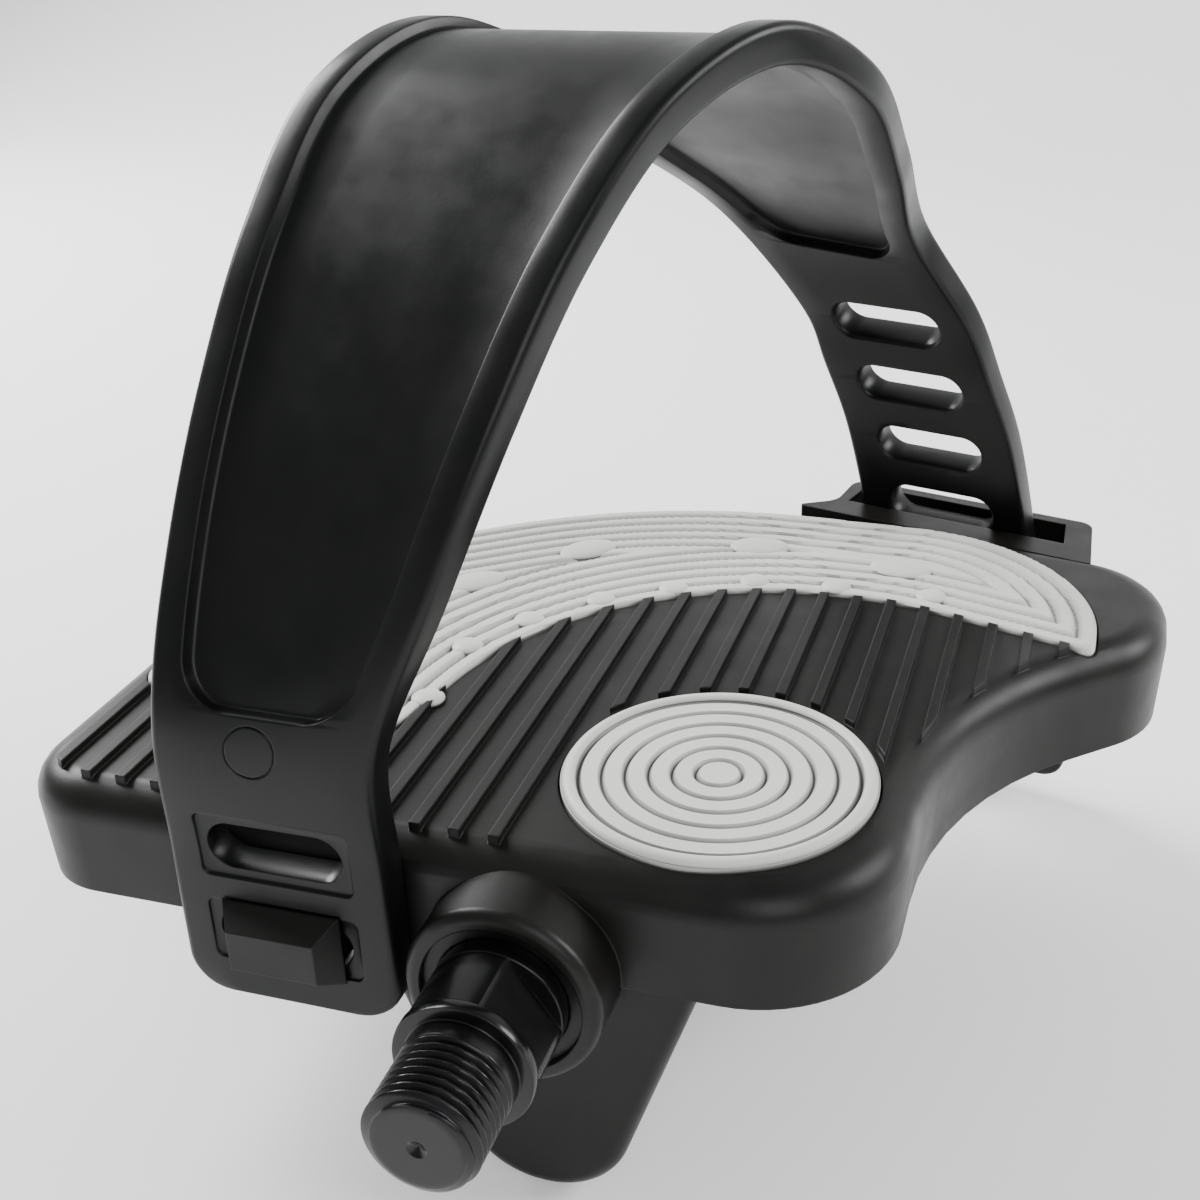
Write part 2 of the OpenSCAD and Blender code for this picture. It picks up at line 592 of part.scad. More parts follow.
module counterweight() {
  color("#4a4a4c") translate([0, keel_end - cover_t - fit_gap, 0]) rotate([90, 0, 0]) intersection() {
    flat_prism(inset(KEEL, wall + fit_gap), 0, keel_depth - wall - cover_t - 2 * fit_gap);
    translate([-keel_half, keel_z, -over])
      cube([2 * keel_half, weight_top - keel_z, keel_depth + 2 * over]);
  }
}
module keel_cover() {
  color("#1c1c1a") difference() {
    translate([0, keel_end, 0]) rotate([90, 0, 0]) intersection() {
      flat_prism(inset(KEEL, wall + fit_gap), 0, cover_t);
      translate([-keel_half, keel_z, -over]) cube([2 * keel_half, -keel_z - wall - 0.5, cover_t + 2 * over]);
    }
    turned() band(0, barrel_r + fit_gap, barrel_y, barrel_end);
    for (s = [-1, 1]) translate([s * boss_x, keel_end + over, boss_z]) rotate([90, 0, 0])
      cylinder(d = screw_d + 2 * press_gap, h = cover_t + 2 * over, $fn = 48);
  }
}
module cover_screws() {
  color("#b8b8b8") for (s = [-1, 1]) translate([s * boss_x, keel_end, boss_z]) difference() {
    union() {
      rotate([90, 0, 0]) cylinder(d = screw_d, h = screw_len, $fn = 48);
      rotate([-90, 0, 0]) cylinder(d = screw_d * 1.9, h = screw_d * 0.6, $fn = 48);
    }
    for (a = [0, 90]) translate([0, screw_d * 0.6, 0]) rotate([0, a, 0])
      cube([screw_d, screw_d * 0.6, screw_d * 0.22], center = true);
  }
}

module ball_ring(n, pitch_r, y, r) {
  for (k = [0 : n - 1]) rotate([0, k * 360 / n, 0]) translate([pitch_r, y, 0]) sphere(r = r, $fn = 48);
}
module race_circle(pitch_r, y) {
  translate([pitch_r, y]) circle(r = ball_r + race_gap, $fn = 64);
}
// Cup open towards the end given by side: -1 for the crank side, 1 for the outboard side
module cup(pitch_r, y, side) {
  r = pitch_r + ball_r + cup_wall;
  lip = pitch_r + ball_r * 0.72;
  turned() difference() {
    union() {
      band(lip, r, side < 0 ? y - cup_front : y, side < 0 ? y : y + cup_front);
      band(pitch_r - ball_r * 0.3, r, side < 0 ? y : y - cup_back, side < 0 ? y + cup_back : y);
    }
    race_circle(pitch_r, y);
  }
}
// Crown cage: a ring beside the balls with fingers between them
module cage(n, pitch_r, y, side) {
  r0 = pitch_r + 0.2;
  r1 = pitch_r + ball_r * 0.72 - 0.1;
  y0 = side < 0 ? y - ball_r - 0.7 : y - 0.4;
  difference() {
    turned() band(r0, r1, y0, y0 + ball_r + 1.1);
    for (k = [0 : n - 1]) rotate([0, k * 360 / n, 0]) translate([pitch_r, y, 0]) rotate([0, 90, 0])
      cylinder(r = cage_r, h = 2 * ball_d, center = true, $fn = 48);
  }
}
module spindle() {
  color("#202022") difference() {
    turned() difference() {
      union() {
        polygon([[0, -thread_len - nose_len], [nose_d / 2, -thread_len - nose_len],
          [thread_d / 2, -thread_len], [thread_d / 2, 0], [0, 0]]);
        band(0, flange_d / 2, 0, flange_t);
        band(0, neck_d / 2, 0, inner_ball_y - 4.5);
        band(0, inner_pitch_r - 0.1, 0, inner_ball_y - 0.2);
        band(0, shaft_d / 2, 0, outer_ball_y - ball_r - 1);
        band(0, tail_d / 2, 0, spindle_end);
      }
      race_circle(inner_pitch_r, inner_ball_y);
    }
    for (s = [-1, 1]) rotate([0, flat_turn, 0])
      translate([s > 0 ? flat_af / 2 : -flat_af / 2 - neck_d, flange_t, -neck_d])
        cube([neck_d, flat_len, 2 * neck_d]);
    translate([-key_w / 2, cone_start, tail_d / 2 - key_depth])
      cube([key_w, spindle_end - cone_start + over, key_depth + over]);
  }
}
module inner_cup() color("#8d8f92") cup(inner_pitch_r, inner_ball_y, -1);
module outer_cup() color("#8d8f92") cup(outer_pitch_r, outer_ball_y, 1);
module inner_balls() color("#d0d2d4") ball_ring(inner_balls_n, inner_pitch_r, inner_ball_y, ball_r);
module outer_balls() color("#d0d2d4") ball_ring(outer_balls_n, outer_pitch_r, outer_ball_y, ball_r);
module inner_cage() color("#a9a28c") cage(inner_balls_n, inner_pitch_r, inner_ball_y, -1);
module outer_cage() color("#a9a28c") cage(outer_balls_n, outer_pitch_r, outer_ball_y, 1);
module adjusting_cone() {
  color("#8d8f92") difference() {
    union() {
      turned() difference() {
        band(tail_d / 2 + slide_gap, outer_pitch_r - 0.1, cone_start, cone_end);
        race_circle(outer_pitch_r, outer_ball_y);
      }
    }
    for (s = [-1, 1]) translate([s > 0 ? nut_af / 2 - 0.6 : -nut_af / 2 + 0.6 - over, cone_end - 2, -nut_af])
      cube([over, 2 + over, 2 * nut_af]);
  }
}
module lock_washer() {
  color("#b8b8b8") union() {
    turned() band(tail_d / 2 + slide_gap, nut_af / 2 + 0.3, cone_end, washer_end);
    translate([-key_w / 2 + slide_gap, cone_end, tail_d / 2 - key_depth + slide_gap])
      cube([key_w - 2 * slide_gap, washer_t, key_depth + 0.5]);
  }
}
module locknut() {
  color("#b8b8b8") translate([0, washer_end, 0]) rotate([-90, 0, 0]) difference() {
    cylinder(d = nut_af / cos(30), h = locknut_t, $fn = 6);
    translate([0, 0, -over]) cylinder(r = tail_d / 2 + slide_gap, h = locknut_t + 2 * over, $fn = 96);
  }
}
module end_cap() {
  r = outer_cup_r;
  color("#1c1c1a") turned() difference() {
    union() {
      band(0, r - slide_gap, nut_end + tail_over + 1, barrel_end + 1);
      band(0, barrel_r - 1, barrel_end + slide_gap, barrel_end + 1.6);
    }
    band(-over, r - 1.6, nut_end, barrel_end - 0.4);
  }
}
module lip_seal() {
  color("#141414") turned() union() {
    band(neck_d / 2 + 1, inner_cup_r, barrel_y + 1, barrel_y + 1 + seal_t);
    polygon([[neck_d / 2 + seal_gap, barrel_y + 1], [neck_d / 2 + 1.2, barrel_y + 1],
      [neck_d / 2 + 1.2, barrel_y + 1 + seal_t * 0.6], [neck_d / 2 + seal_gap, barrel_y + 1.4]]);
  }
}

platform();
crescent_pad();
round_pad();
strap();
counterweight();
keel_cover();
cover_screws();
spindle();
inner_cup();
outer_cup();
inner_balls();
outer_balls();
inner_cage();
outer_cage();
adjusting_cone();
lock_washer();
locknut();
end_cap();
lip_seal();
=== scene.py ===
"""Exercise bike pedal: finishes, fine detail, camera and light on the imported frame.

The CAD nodes keep their places. The strap, the crescent pad and the spindle are stood for by finer
pieces of the same size, and every visible part gets a procedural finish.
"""

import logging
import math
from abc import ABC, abstractmethod
from dataclasses import dataclass, field
from enum import Enum
from typing import Any, Callable, Sequence

import bmesh
import bpy
import numpy as np
from mathutils import Matrix, Vector
from mathutils.geometry import delaunay_2d_cdt

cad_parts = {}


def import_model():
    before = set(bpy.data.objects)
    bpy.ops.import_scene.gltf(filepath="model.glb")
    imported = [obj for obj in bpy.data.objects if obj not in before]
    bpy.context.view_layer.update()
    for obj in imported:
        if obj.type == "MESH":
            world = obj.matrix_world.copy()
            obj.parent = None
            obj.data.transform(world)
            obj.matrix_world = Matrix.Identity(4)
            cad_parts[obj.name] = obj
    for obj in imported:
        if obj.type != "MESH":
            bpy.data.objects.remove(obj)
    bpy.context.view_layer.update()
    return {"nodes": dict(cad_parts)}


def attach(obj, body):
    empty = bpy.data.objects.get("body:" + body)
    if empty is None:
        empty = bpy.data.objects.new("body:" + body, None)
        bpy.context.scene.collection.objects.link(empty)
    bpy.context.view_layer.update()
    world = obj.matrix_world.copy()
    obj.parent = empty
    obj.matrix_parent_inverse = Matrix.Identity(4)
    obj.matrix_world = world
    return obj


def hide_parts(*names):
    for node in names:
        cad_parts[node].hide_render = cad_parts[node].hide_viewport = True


LOG = logging.getLogger("pedal")
MM = 0.001

Point = tuple[float, float, float]
Corner = tuple[float, float, float]


class Body(Enum):
    """The bodies of the model that a piece can ride on."""

    PEDAL = "pedal"
    SPINDLE = "spindle"
    INNER_BALLS = "inner_ball_set"
    OUTER_BALLS = "outer_ball_set"


class Slot(Enum):
    """The material slots of the record."""

    NYLON = "moulded_nylon"
    LIGHT = "light_rubber"
    BLACK = "black_rubber"
    WEIGHT = "cast_weight"
    ZINC = "zinc_steel"
    OXIDE = "black_steel"
    BEARING = "bearing_steel"
    CAGE = "cage_brass"


# Materials


def linear(code: str) -> tuple[float, float, float, float]:
    """Turns an sRGB hex colour into linear RGBA.

    Args:
        code: six hex digits with a leading hash.

    Returns:
        The linear colour with an alpha of 1.
    """
    parts = [int(code[i : i + 2], 16) / 255 for i in (1, 3, 5)]
    curve = [c / 12.92 if c <= 0.04045 else ((c + 0.055) / 1.055) ** 2.4 for c in parts]
    return (curve[0], curve[1], curve[2], 1.0)


def add_node(
    tree: bpy.types.NodeTree,
    kind: str,
    sockets: dict[Any, Any] | None = None,
    **settings: Any,
) -> Any:
    """Adds one node, sets its attributes and fills or links its inputs.

    Args:
        tree: the tree that gets the node.
        kind: the node's type name.
        sockets: input name or index to a constant or to an output socket.
        settings: attributes of the node itself.

    Returns:
        The new node.
    """
    node = tree.nodes.new(kind)
    for name, value in settings.items():
        setattr(node, name, value)
    for key, value in (sockets or {}).items():
        if isinstance(value, bpy.types.NodeSocket):
            tree.links.new(value, node.inputs[key])
        else:
            node.inputs[key].default_value = value
    return node


# Sockets of the Mix node when it mixes colours
MIX_FACTOR = 0
MIX_FIRST = 6
MIX_SECOND = 7
MIX_RESULT = 2

# Stretches of the noise that the two tones and the roughness are spread over, and of the occlusion that the
# painted shade in grooves is spread over, with its darkest share
MOTTLE_SPAN = (0.35, 0.65)
SMUDGE_SPAN = (0.3, 0.7)
SMUDGE_SHARE = 0.35
PAINTED_SHADE_SPAN = (0.45, 0.9)
PAINTED_SHADE_DARK = 0.22


@dataclass(frozen=True)
class Finish:
    """How one material looks, with its patterns in real millimetres."""

    name: str
    base: str
    tone: str
    rough: tuple[float, float]
    grain_mm: float
    grain_depth_mm: float
    mottle_mm: float = 18.0
    metallic: float = 0.0
    edge_mm: float = 0.25
    stretch: Point = (1.0, 1.0, 1.0)
    specular: float = 0.5
    # Reach in millimetres of the painted shade in grooves; 0 leaves it out
    painted_shade_mm: float = 0.0
    glow: float = 0.0

    def build(self) -> bpy.types.Material:
        """Builds the material from noise in object coordinates.

        Returns:
            The finished material.
        """
        material = bpy.data.materials.new(self.name)
        material.use_nodes = True
        tree = material.node_tree
        tree.nodes.clear()
        space = add_node(tree, "ShaderNodeTexCoord").outputs["Object"]
        spread = add_node(
            tree, "ShaderNodeMapping", {"Vector": space, "Scale": self.stretch}
        ).outputs["Vector"]
        mottle = self.noise(tree, space, self.mottle_mm, 3.0).outputs["Fac"]
        grain = self.noise(tree, spread, self.grain_mm, 2.0).outputs["Fac"]
        smudge = self.noise(tree, spread, self.mottle_mm * SMUDGE_SHARE, 4.0).outputs["Fac"]
        blend = add_node(
            tree,
            "ShaderNodeMapRange",
            {"Value": mottle, "From Min": MOTTLE_SPAN[0], "From Max": MOTTLE_SPAN[1]},
        ).outputs["Result"]
        colour = add_node(
            tree,
            "ShaderNodeMix",
            {MIX_FACTOR: blend, MIX_FIRST: linear(self.base), MIX_SECOND: linear(self.tone)},
            data_type="RGBA",
        ).outputs[MIX_RESULT]
        # Painted shade: the colour is darkened where ambient occlusion finds near surfaces
        if self.painted_shade_mm:
            colour = self.with_painted_shade(tree, colour)
        rough = add_node(
            tree,
            "ShaderNodeMapRange",
            {
                "Value": smudge,
                "From Min": SMUDGE_SPAN[0],
                "From Max": SMUDGE_SPAN[1],
                "To Min": self.rough[0],
                "To Max": self.rough[1],
            },
        ).outputs["Result"]
        round_edge = add_node(tree, "ShaderNodeBevel", {"Radius": self.edge_mm * MM}, samples=6)
        bump = add_node(
            tree,
            "ShaderNodeBump",
            {
                "Strength": 1.0,
                "Distance": self.grain_depth_mm * MM,
                "Height": grain,
                "Normal": round_edge.outputs["Normal"],
            },
        )
        values: dict[Any, Any] = {
            "Base Color": colour,
            "Roughness": rough,
            "Normal": bump.outputs["Normal"],
            "Metallic": self.metallic,
            "Specular IOR Level": self.specular,
            "Emission Color": linear(self.base),
            "Emission Strength": self.glow,
        }
        shader = add_node(tree, "ShaderNodeBsdfPrincipled", values)
        add_node(tree, "ShaderNodeOutputMaterial", {"Surface": shader.outputs["BSDF"]})
        return material

    def with_painted_shade(self, tree: bpy.types.NodeTree, colour: Any) -> Any:
        """Darkens a colour in grooves with painted shade, by ambient occlusion.

        Args:
            tree: the material's tree.
            colour: the colour socket.

        Returns:
            The socket of the colour with its painted shade.
        """
        # Painted shade: ambient occlusion darkens the colour in grooves
        near = add_node(
            tree, "ShaderNodeAmbientOcclusion", {"Distance": self.painted_shade_mm * MM}, samples=8
        )
        open_share = add_node(
            tree,
            "ShaderNodeMapRange",
            {
                "Value": near.outputs["AO"],
                "From Min": PAINTED_SHADE_SPAN[0],
                "From Max": PAINTED_SHADE_SPAN[1],
                "To Min": PAINTED_SHADE_DARK,
                "To Max": 1.0,
            },
        ).outputs["Result"]
        dark = add_node(
            tree,
            "ShaderNodeMix",
            {MIX_FACTOR: 1.0, MIX_FIRST: colour, MIX_SECOND: open_share},
            data_type="RGBA",
            blend_type="MULTIPLY",
        )
        return dark.outputs[MIX_RESULT]

    @staticmethod
    def noise(tree: bpy.types.NodeTree, vector: Any, size_mm: float, detail: float) -> Any:
        """Adds a noise texture whose cells are about size_mm across."""
        return add_node(
            tree, "ShaderNodeTexNoise", {"Vector": vector, "Scale": 1.0 / (size_mm * MM), "Detail": detail}
        )


FINISHES: dict[Slot, Finish] = {
    # Injection moulded nylon with a fine spark texture: near black, a soft broad sheen
    Slot.NYLON: Finish(
        "moulded nylon",
        "#0c0b0a",
        "#11100e",
        (0.36, 0.46),
        0.5,
        0.012,
        edge_mm=0.35,
        specular=0.26,
    ),
    # Moulded light elastomer: satin off-white, with painted shade in its grooves
    Slot.LIGHT: Finish(
        "light elastomer",
        "#d6d5d1",
        "#cfcecb",
        (0.4, 0.5),
        0.6,
        0.01,
        edge_mm=0.15,
        specular=0.35,
        painted_shade_mm=2.2,
    ),
    # Moulded synthetic rubber: deep black, smoother than the nylon
    Slot.BLACK: Finish(
        "black rubber",
        "#08090a",
        "#0d0d0e",
        (0.28, 0.38),
        0.45,
        0.008,
        edge_mm=0.3,
        specular=0.24,
    ),
    # Sand cast iron: dull grey and coarse
    Slot.WEIGHT: Finish(
        "cast weight",
        "#3c3d40",
        "#4c4c4e",
        (0.5, 0.7),
        0.9,
        0.05,
        metallic=0.8,
    ),
    # Zinc plated steel: bright, slightly blue
    Slot.ZINC: Finish(
        "zinc steel",
        "#b4b6b8",
        "#a6a9ad",
        (0.25, 0.4),
        0.3,
        0.004,
        metallic=1.0,
        edge_mm=0.12,
    ),
    # Turned steel with an oiled oxide coat: black, tight highlights, fine marks round the axis
    Slot.OXIDE: Finish(
        "black oxide",
        "#0c0c0d",
        "#121214",
        (0.18, 0.28),
        0.25,
        0.004,
        metallic=0.25,
        edge_mm=0.12,
        stretch=(0.15, 1.0, 0.15),
        specular=0.4,
    ),
    # Ground bearing steel: bright and smooth
    Slot.BEARING: Finish(
        "bearing steel",
        "#a9abae",
        "#9b9da1",
        (0.15, 0.25),
        0.3,
        0.002,
        metallic=1.0,
        edge_mm=0.1,
    ),
    # Pressed brass sheet: dull yellow
    Slot.CAGE: Finish(
        "cage brass",
        "#b08d4c",
        "#9d7c3f",
        (0.3, 0.45),
        0.3,
        0.004,
        metallic=1.0,
        edge_mm=0.1,
    ),
}

# Matt studio paper, lit a little by itself so that it stays pale
PAPER = Finish(
    "studio paper",
    "#fbfbfb",
    "#f8f8f8",
    (0.8, 0.9),
    3.0,
    0.0,
    mottle_mm=400.0,
    specular=0.2,
    glow=0.22,
)


class Paint:
    """Hands out each finish's material, built once."""

    def __init__(self) -> None:
        """Starts with no material built."""
        self.made: dict[Slot, bpy.types.Material] = {}

    def get(self, slot: Slot) -> bpy.types.Material:
        """Hands out a slot's material.

        Args:
            slot: the material slot.

        Returns:
            The slot's material.
        """
        if slot not in self.made:
            self.made[slot] = FINISHES[slot].build()
        return self.made[slot]


# Meshes


def mesh_object(name: str, points: Sequence[Point], faces: Sequence[Sequence[int]]) -> bpy.types.Object:
    """Makes an object at the origin from points in millimetres.

    Args:
        name: the piece's name.
        points: the vertices in millimetres.
        faces: vertex indices of each face.

    Returns:
        The new object, linked to the scene.
    """
    mesh = bpy.data.meshes.new(name)
    mesh.from_pydata([tuple(c * MM for c in p) for p in points], [], [tuple(f) for f in faces])
    mesh.validate()
    made = bpy.data.objects.new(name, mesh)
    bpy.context.scene.collection.objects.link(made)
    return made


def smooth(piece: bpy.types.Object, angle: float = 32.0) -> None:
    """Shades a piece smooth with sharp edges past an angle in degrees."""
    piece.data.polygons.foreach_set("use_smooth", [True] * len(piece.data.polygons))
    piece.data.set_sharp_from_angle(angle=math.radians(angle))


def baked(piece: bpy.types.Object) -> bpy.types.Object:
    """Turns a piece's modifiers into plain mesh and removes them.

    Args:
        piece: an object with modifiers.

    Returns:
        The same object, now without modifiers.
    """
    graph = bpy.context.evaluated_depsgraph_get()
    mesh = bpy.data.meshes.new_from_object(piece.evaluated_get(graph))
    piece.modifiers.clear()
    old = piece.data
    piece.data = mesh
    bpy.data.meshes.remove(old)
    return piece


def carve(piece: bpy.types.Object, cutter: bpy.types.Object) -> None:
    """Cuts one object out of another and deletes the cutter.

    Args:
        piece: the object that is cut.
        cutter: the closed object that is taken out of it.
    """
    modifier = piece.modifiers.new("cut", "BOOLEAN")
    modifier.operation = "DIFFERENCE"
    modifier.solver = "EXACT"
    modifier.object = cutter
    bpy.context.view_layer.update()
    baked(piece)
    bpy.data.objects.remove(cutter)


def outward(piece: bpy.types.Object) -> None:
    """Turns a closed piece's faces outwards.

    Args:
        piece: the closed piece.
    """
    work = bmesh.new()
    work.from_mesh(piece.data)
    bmesh.ops.recalc_face_normals(work, faces=work.faces)
    work.to_mesh(piece.data)
    work.free()


def ring_faces(rings: int, count: int) -> list[list[int]]:
    """Quads between closed rings, with an n-gon at both ends.

    Args:
        rings: how many rings the points form.
        count: points in each ring.

    Returns:
        The faces.
    """
    faces = [
        [k * count + i, k * count + (i + 1) % count, (k + 1) * count + (i + 1) % count, (k + 1) * count + i]
        for k in range(rings - 1)
        for i in range(count)
    ]
    faces.append(list(range(count))[::-1])
    faces.append([(rings - 1) * count + i for i in range(count)])
    return faces


# Outlines


class Outline:
    """A closed plan of corners with radii, as the part's source has it."""

    def __init__(self, corners: Sequence[Corner]) -> None:
        """Keeps the corners, counter-clockwise."""
        self.corners = [tuple(c) for c in corners]

    def turn(self, i: int) -> tuple[Vector, Vector, float, float]:
        """Measures one corner.

        Args:
            i: the corner's number.

        Returns:
            The directions before and after it, its turn and its side.
        """
        a, b, c = (Vector(self.corners[(i + k) % len(self.corners)][:2]) for k in (-1, 0, 1))
        u, v = (b - a).normalized(), (c - b).normalized()
        angle = math.atan2(u.x * v.y - u.y * v.x, u.dot(v))
        return u, v, angle, math.copysign(1.0, angle)

    def points(self, step: float = 4.0, straight: float = 3.0) -> list[tuple[float, float]]:
        """Samples the outline.

        Args:
            step: degrees between points on an arc.
            straight: millimetres between points on a straight edge.

        Returns:
            The points, counter-clockwise.
        """
        out: list[tuple[float, float]] = []
        for i, (x, y, r) in enumerate(self.corners):
            u, _, angle, side = self.turn(i)
            start = Vector((x, y)) - u * r * math.tan(abs(angle) / 2)
            middle = start + side * r * Vector((-u.y, u.x))
            first = math.atan2(u.y, u.x)
            if out:
                gap = (start - Vector(out[-1])).length
                n = int(gap // straight)
                last = Vector(out[-1])
                out += [tuple(last.lerp(start, (k + 1) / (n + 1))) for k in range(n)]
            count = max(1, math.ceil(math.degrees(abs(angle)) / step))
            for j in range(count + 1):
                a = first + angle * j / count
                out.append(tuple(middle + r * side * Vector((math.sin(a), -math.cos(a)))))
        return out


# Pieces


class Piece(ABC):
    """A sub-assembly that builds its meshes and dresses them."""

    body: Body = Body.PEDAL

    @abstractmethod
    def build(self) -> list[tuple[bpy.types.Object, Slot]]:
        """Builds the meshes.

        Returns:
            Each new object with the slot that it takes its finish from.
        """

    def stands_for(self) -> tuple[str, ...]:
        """Names the CAD nodes that the first object replaces."""
        return ()

    def dress(self, paint: Paint) -> None:
        """Builds, paints and places the pieces on their body.

        Args:
            paint: the source of the materials.
        """
        for number, (piece, slot) in enumerate(self.build()):
            piece.data.materials.clear()
            piece.data.materials.append(paint.get(slot))
            if number == 0 and self.stands_for():
                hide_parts(*self.stands_for())
            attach(piece, self.body.value)
            LOG.info("%s: %d faces on %s", piece.name, len(piece.data.polygons), self.body.value)


@dataclass
class Strap(Piece):
    """The moulded strap: a channel section swept along its path, with holes at both ends."""

    leg_x: float = -30.2
    leg_y: float = 14.5
    low: float = -9.0
    thick: float = 5.2
    leg_half: float = 15.3
    crest_extra: float = 11.3
    rim: float = 4.8
    panel_depth: float = 1.6
    hollow_depth: float = 1.7
    end_round: float = 5.0
    panel_round: float = 6.5
    hole: tuple[float, float] = (18.8, 6.8)
    pitch: float = 13.2
    first_hole: float = 10.2
    panel_span: tuple[float, float] = (2.13, 10.3)
    hollow_span: tuple[float, float] = (2.0, 10.3)
    hook_knot: float = 15.0
    far_holes: tuple[int, ...] = (-2, -1, 0, 1, 2, 3, 4)
    soft_edges: tuple[float, float] = (1.2, 0.8)
    rounding: tuple[tuple[float, float], ...] = ((0.08, 0.62), (0.3, 0.3), (0.62, 0.08))
    wall: tuple[tuple[float, float], ...] = (
        (0.35, 0.0),
        (0.12, 0.06),
        (0.0, 0.2),
        (-0.35, 0.8),
        (-0.55, 0.94),
        (-0.9, 1.0),
    )
    sink_run: float = 0.9
    least_sink: float = 0.02
    least_rim: float = 1.6
    ring_gap: float = 1.5
    edge_gaps: tuple[float, ...] = (
        0.0,
        0.12,
        0.3,
        0.45,
        0.6,
        0.75,
        0.9,
        1.2,
        1.6,
        2.1,
        2.7,
        3.4,
        4.2,
        5.0,
        5.8,
        6.5,
    )
    mouth: tuple[tuple[float, float], ...] = ((0.8, 0.9), (0.0, 0.45), (-0.15, 0.18), (-0.45, 0.0))
    frame_margin: tuple[float, float] = (2.2, 2.4)
    frame_corner: float = 1.0
    frame_levels: tuple[tuple[float, float], ...] = (
        (-0.4, -0.2),
        (-0.32, 0.0),
        (-0.05, 0.12),
        (0.1, 0.25),
        (0.6, 0.3),
    )
    cutter_points: int = 48
    run_step: float = 0.15
    path_samples: int = 3601
    mark_place: tuple[float, float] = (-1.3, 38.2)
    mark_radius: float = 3.4
    mark_groove: float = 0.14
    mark_depth: float = 0.22
    mark_points: tuple[int, int] = (64, 8)
    lug: Point = (39.3, 139.8, 15.0)
    knots: list[tuple[float, ...]] = field(default_factory=list)

    def __post_init__(self) -> None:
        """Lays out the knots: place, turn, rise and share of the extra width."""
        self.knots = [
            (self.leg_x, self.leg_y, self.low, 0, 0, 0),
            (self.leg_x, self.leg_y, 12, 0, 0, 0),
            (self.leg_x + 0.4, self.leg_y, 31, 0, 0, 0),
            (-26.6, 21.7, 50.5, 8, 1, 0.35),
            (-22.7, 31, 69.2, 10, 2, 0.58),
            (-18.2, 42.5, 86.4, 8.5, 1.7, 0.73),
            (-12.8, 57.6, 100.3, 7, 0.5, 0.9),
            (-4.5, 76, 105.8, 7.5, 0.2, 0.99),
            (5.2, 93, 98, 9, 1.5, 0.86),
            (11, 109.5, 86.1, 12, -0.9, 0.57),
            (16.9, 124.6, 72.7, 15.6, -4, 0.19),
            (27.2, 131.8, 56, 17.5, 0, 0),
            (31.2, 135.2, 44.6, 17, 0, 0),
            (34.9, 138.7, 32.4, 16, 0, 0),
            self.far_knot(-1.9, 2.05, 16),
            self.far_knot(0, 1.55, 4.4),
            self.far_knot(2, 2.55, -8),
            self.far_knot(5.2, 4.35, -20),
            self.far_knot(8.6, 6.15, -34),
        ]

    def stands_for(self) -> tuple[str, ...]:
        """Names the strap's CAD node."""
        return ("strap",)

    def far_knot(self, u: float, v: float, z: float) -> tuple[float, ...]:
        """Returns a knot beside the lug, from its place along and across the slot."""
        c, s = math.cos(math.radians(self.lug[2])), math.sin(math.radians(self.lug[2]))
        return (self.lug[0] + u * c + v * s, self.lug[1] - u * s + v * c, z, self.lug[2], 0, 0)

    def at(self, t: float) -> np.ndarray:
        """Blends the knots by Catmull-Rom.

        Args:
            t: the place along the path in knots.

        Returns:
            The knot values there.
        """
        last = len(self.knots) - 1
        i = min(last - 1, int(t))
        f = t - i
        a, b, c, d = (np.array(self.knots[min(last, max(0, i + k))], float) for k in (-1, 0, 1, 2))
        return 0.5 * (
            2 * b + (c - a) * f + (2 * a - 5 * b + 4 * c - d) * f**2 + (3 * b - a - 3 * c + d) * f**3
        )

    def axes(self, t: float) -> tuple[np.ndarray, np.ndarray, np.ndarray, np.ndarray]:
        """Finds the strap's own axes.

        Args:
            t: the place along the path in knots.

        Returns:
            The knot values, the cross line, the outward direction and the run there.
        """
        here = self.at(t)
        end = len(self.knots) - 1
        run = self.at(min(end, t + self.run_step))[:3] - self.at(max(0, t - self.run_step))[:3]
        run /= np.linalg.norm(run)
        turn, rise = math.radians(here[3]), math.radians(here[4])
        cross = np.array(
            [math.cos(turn) * math.cos(rise), -math.sin(turn) * math.cos(rise), math.sin(rise)]
        )
        out = np.cross(cross, run)
        return here, cross, out / np.linalg.norm(out), run

    @staticmethod
    def bow(distance: float, radius: float) -> float:
        """Measures how far a rounded corner has pulled the side in.

        Args:
            distance: the distance from the end.
            radius: the corner's radius.

        Returns:
            The pull in millimetres.
        """
        if distance >= radius:
            return 0.0
        gap = radius - max(0.0, distance)
        return radius - math.sqrt(max(0.0, radius**2 - gap**2))

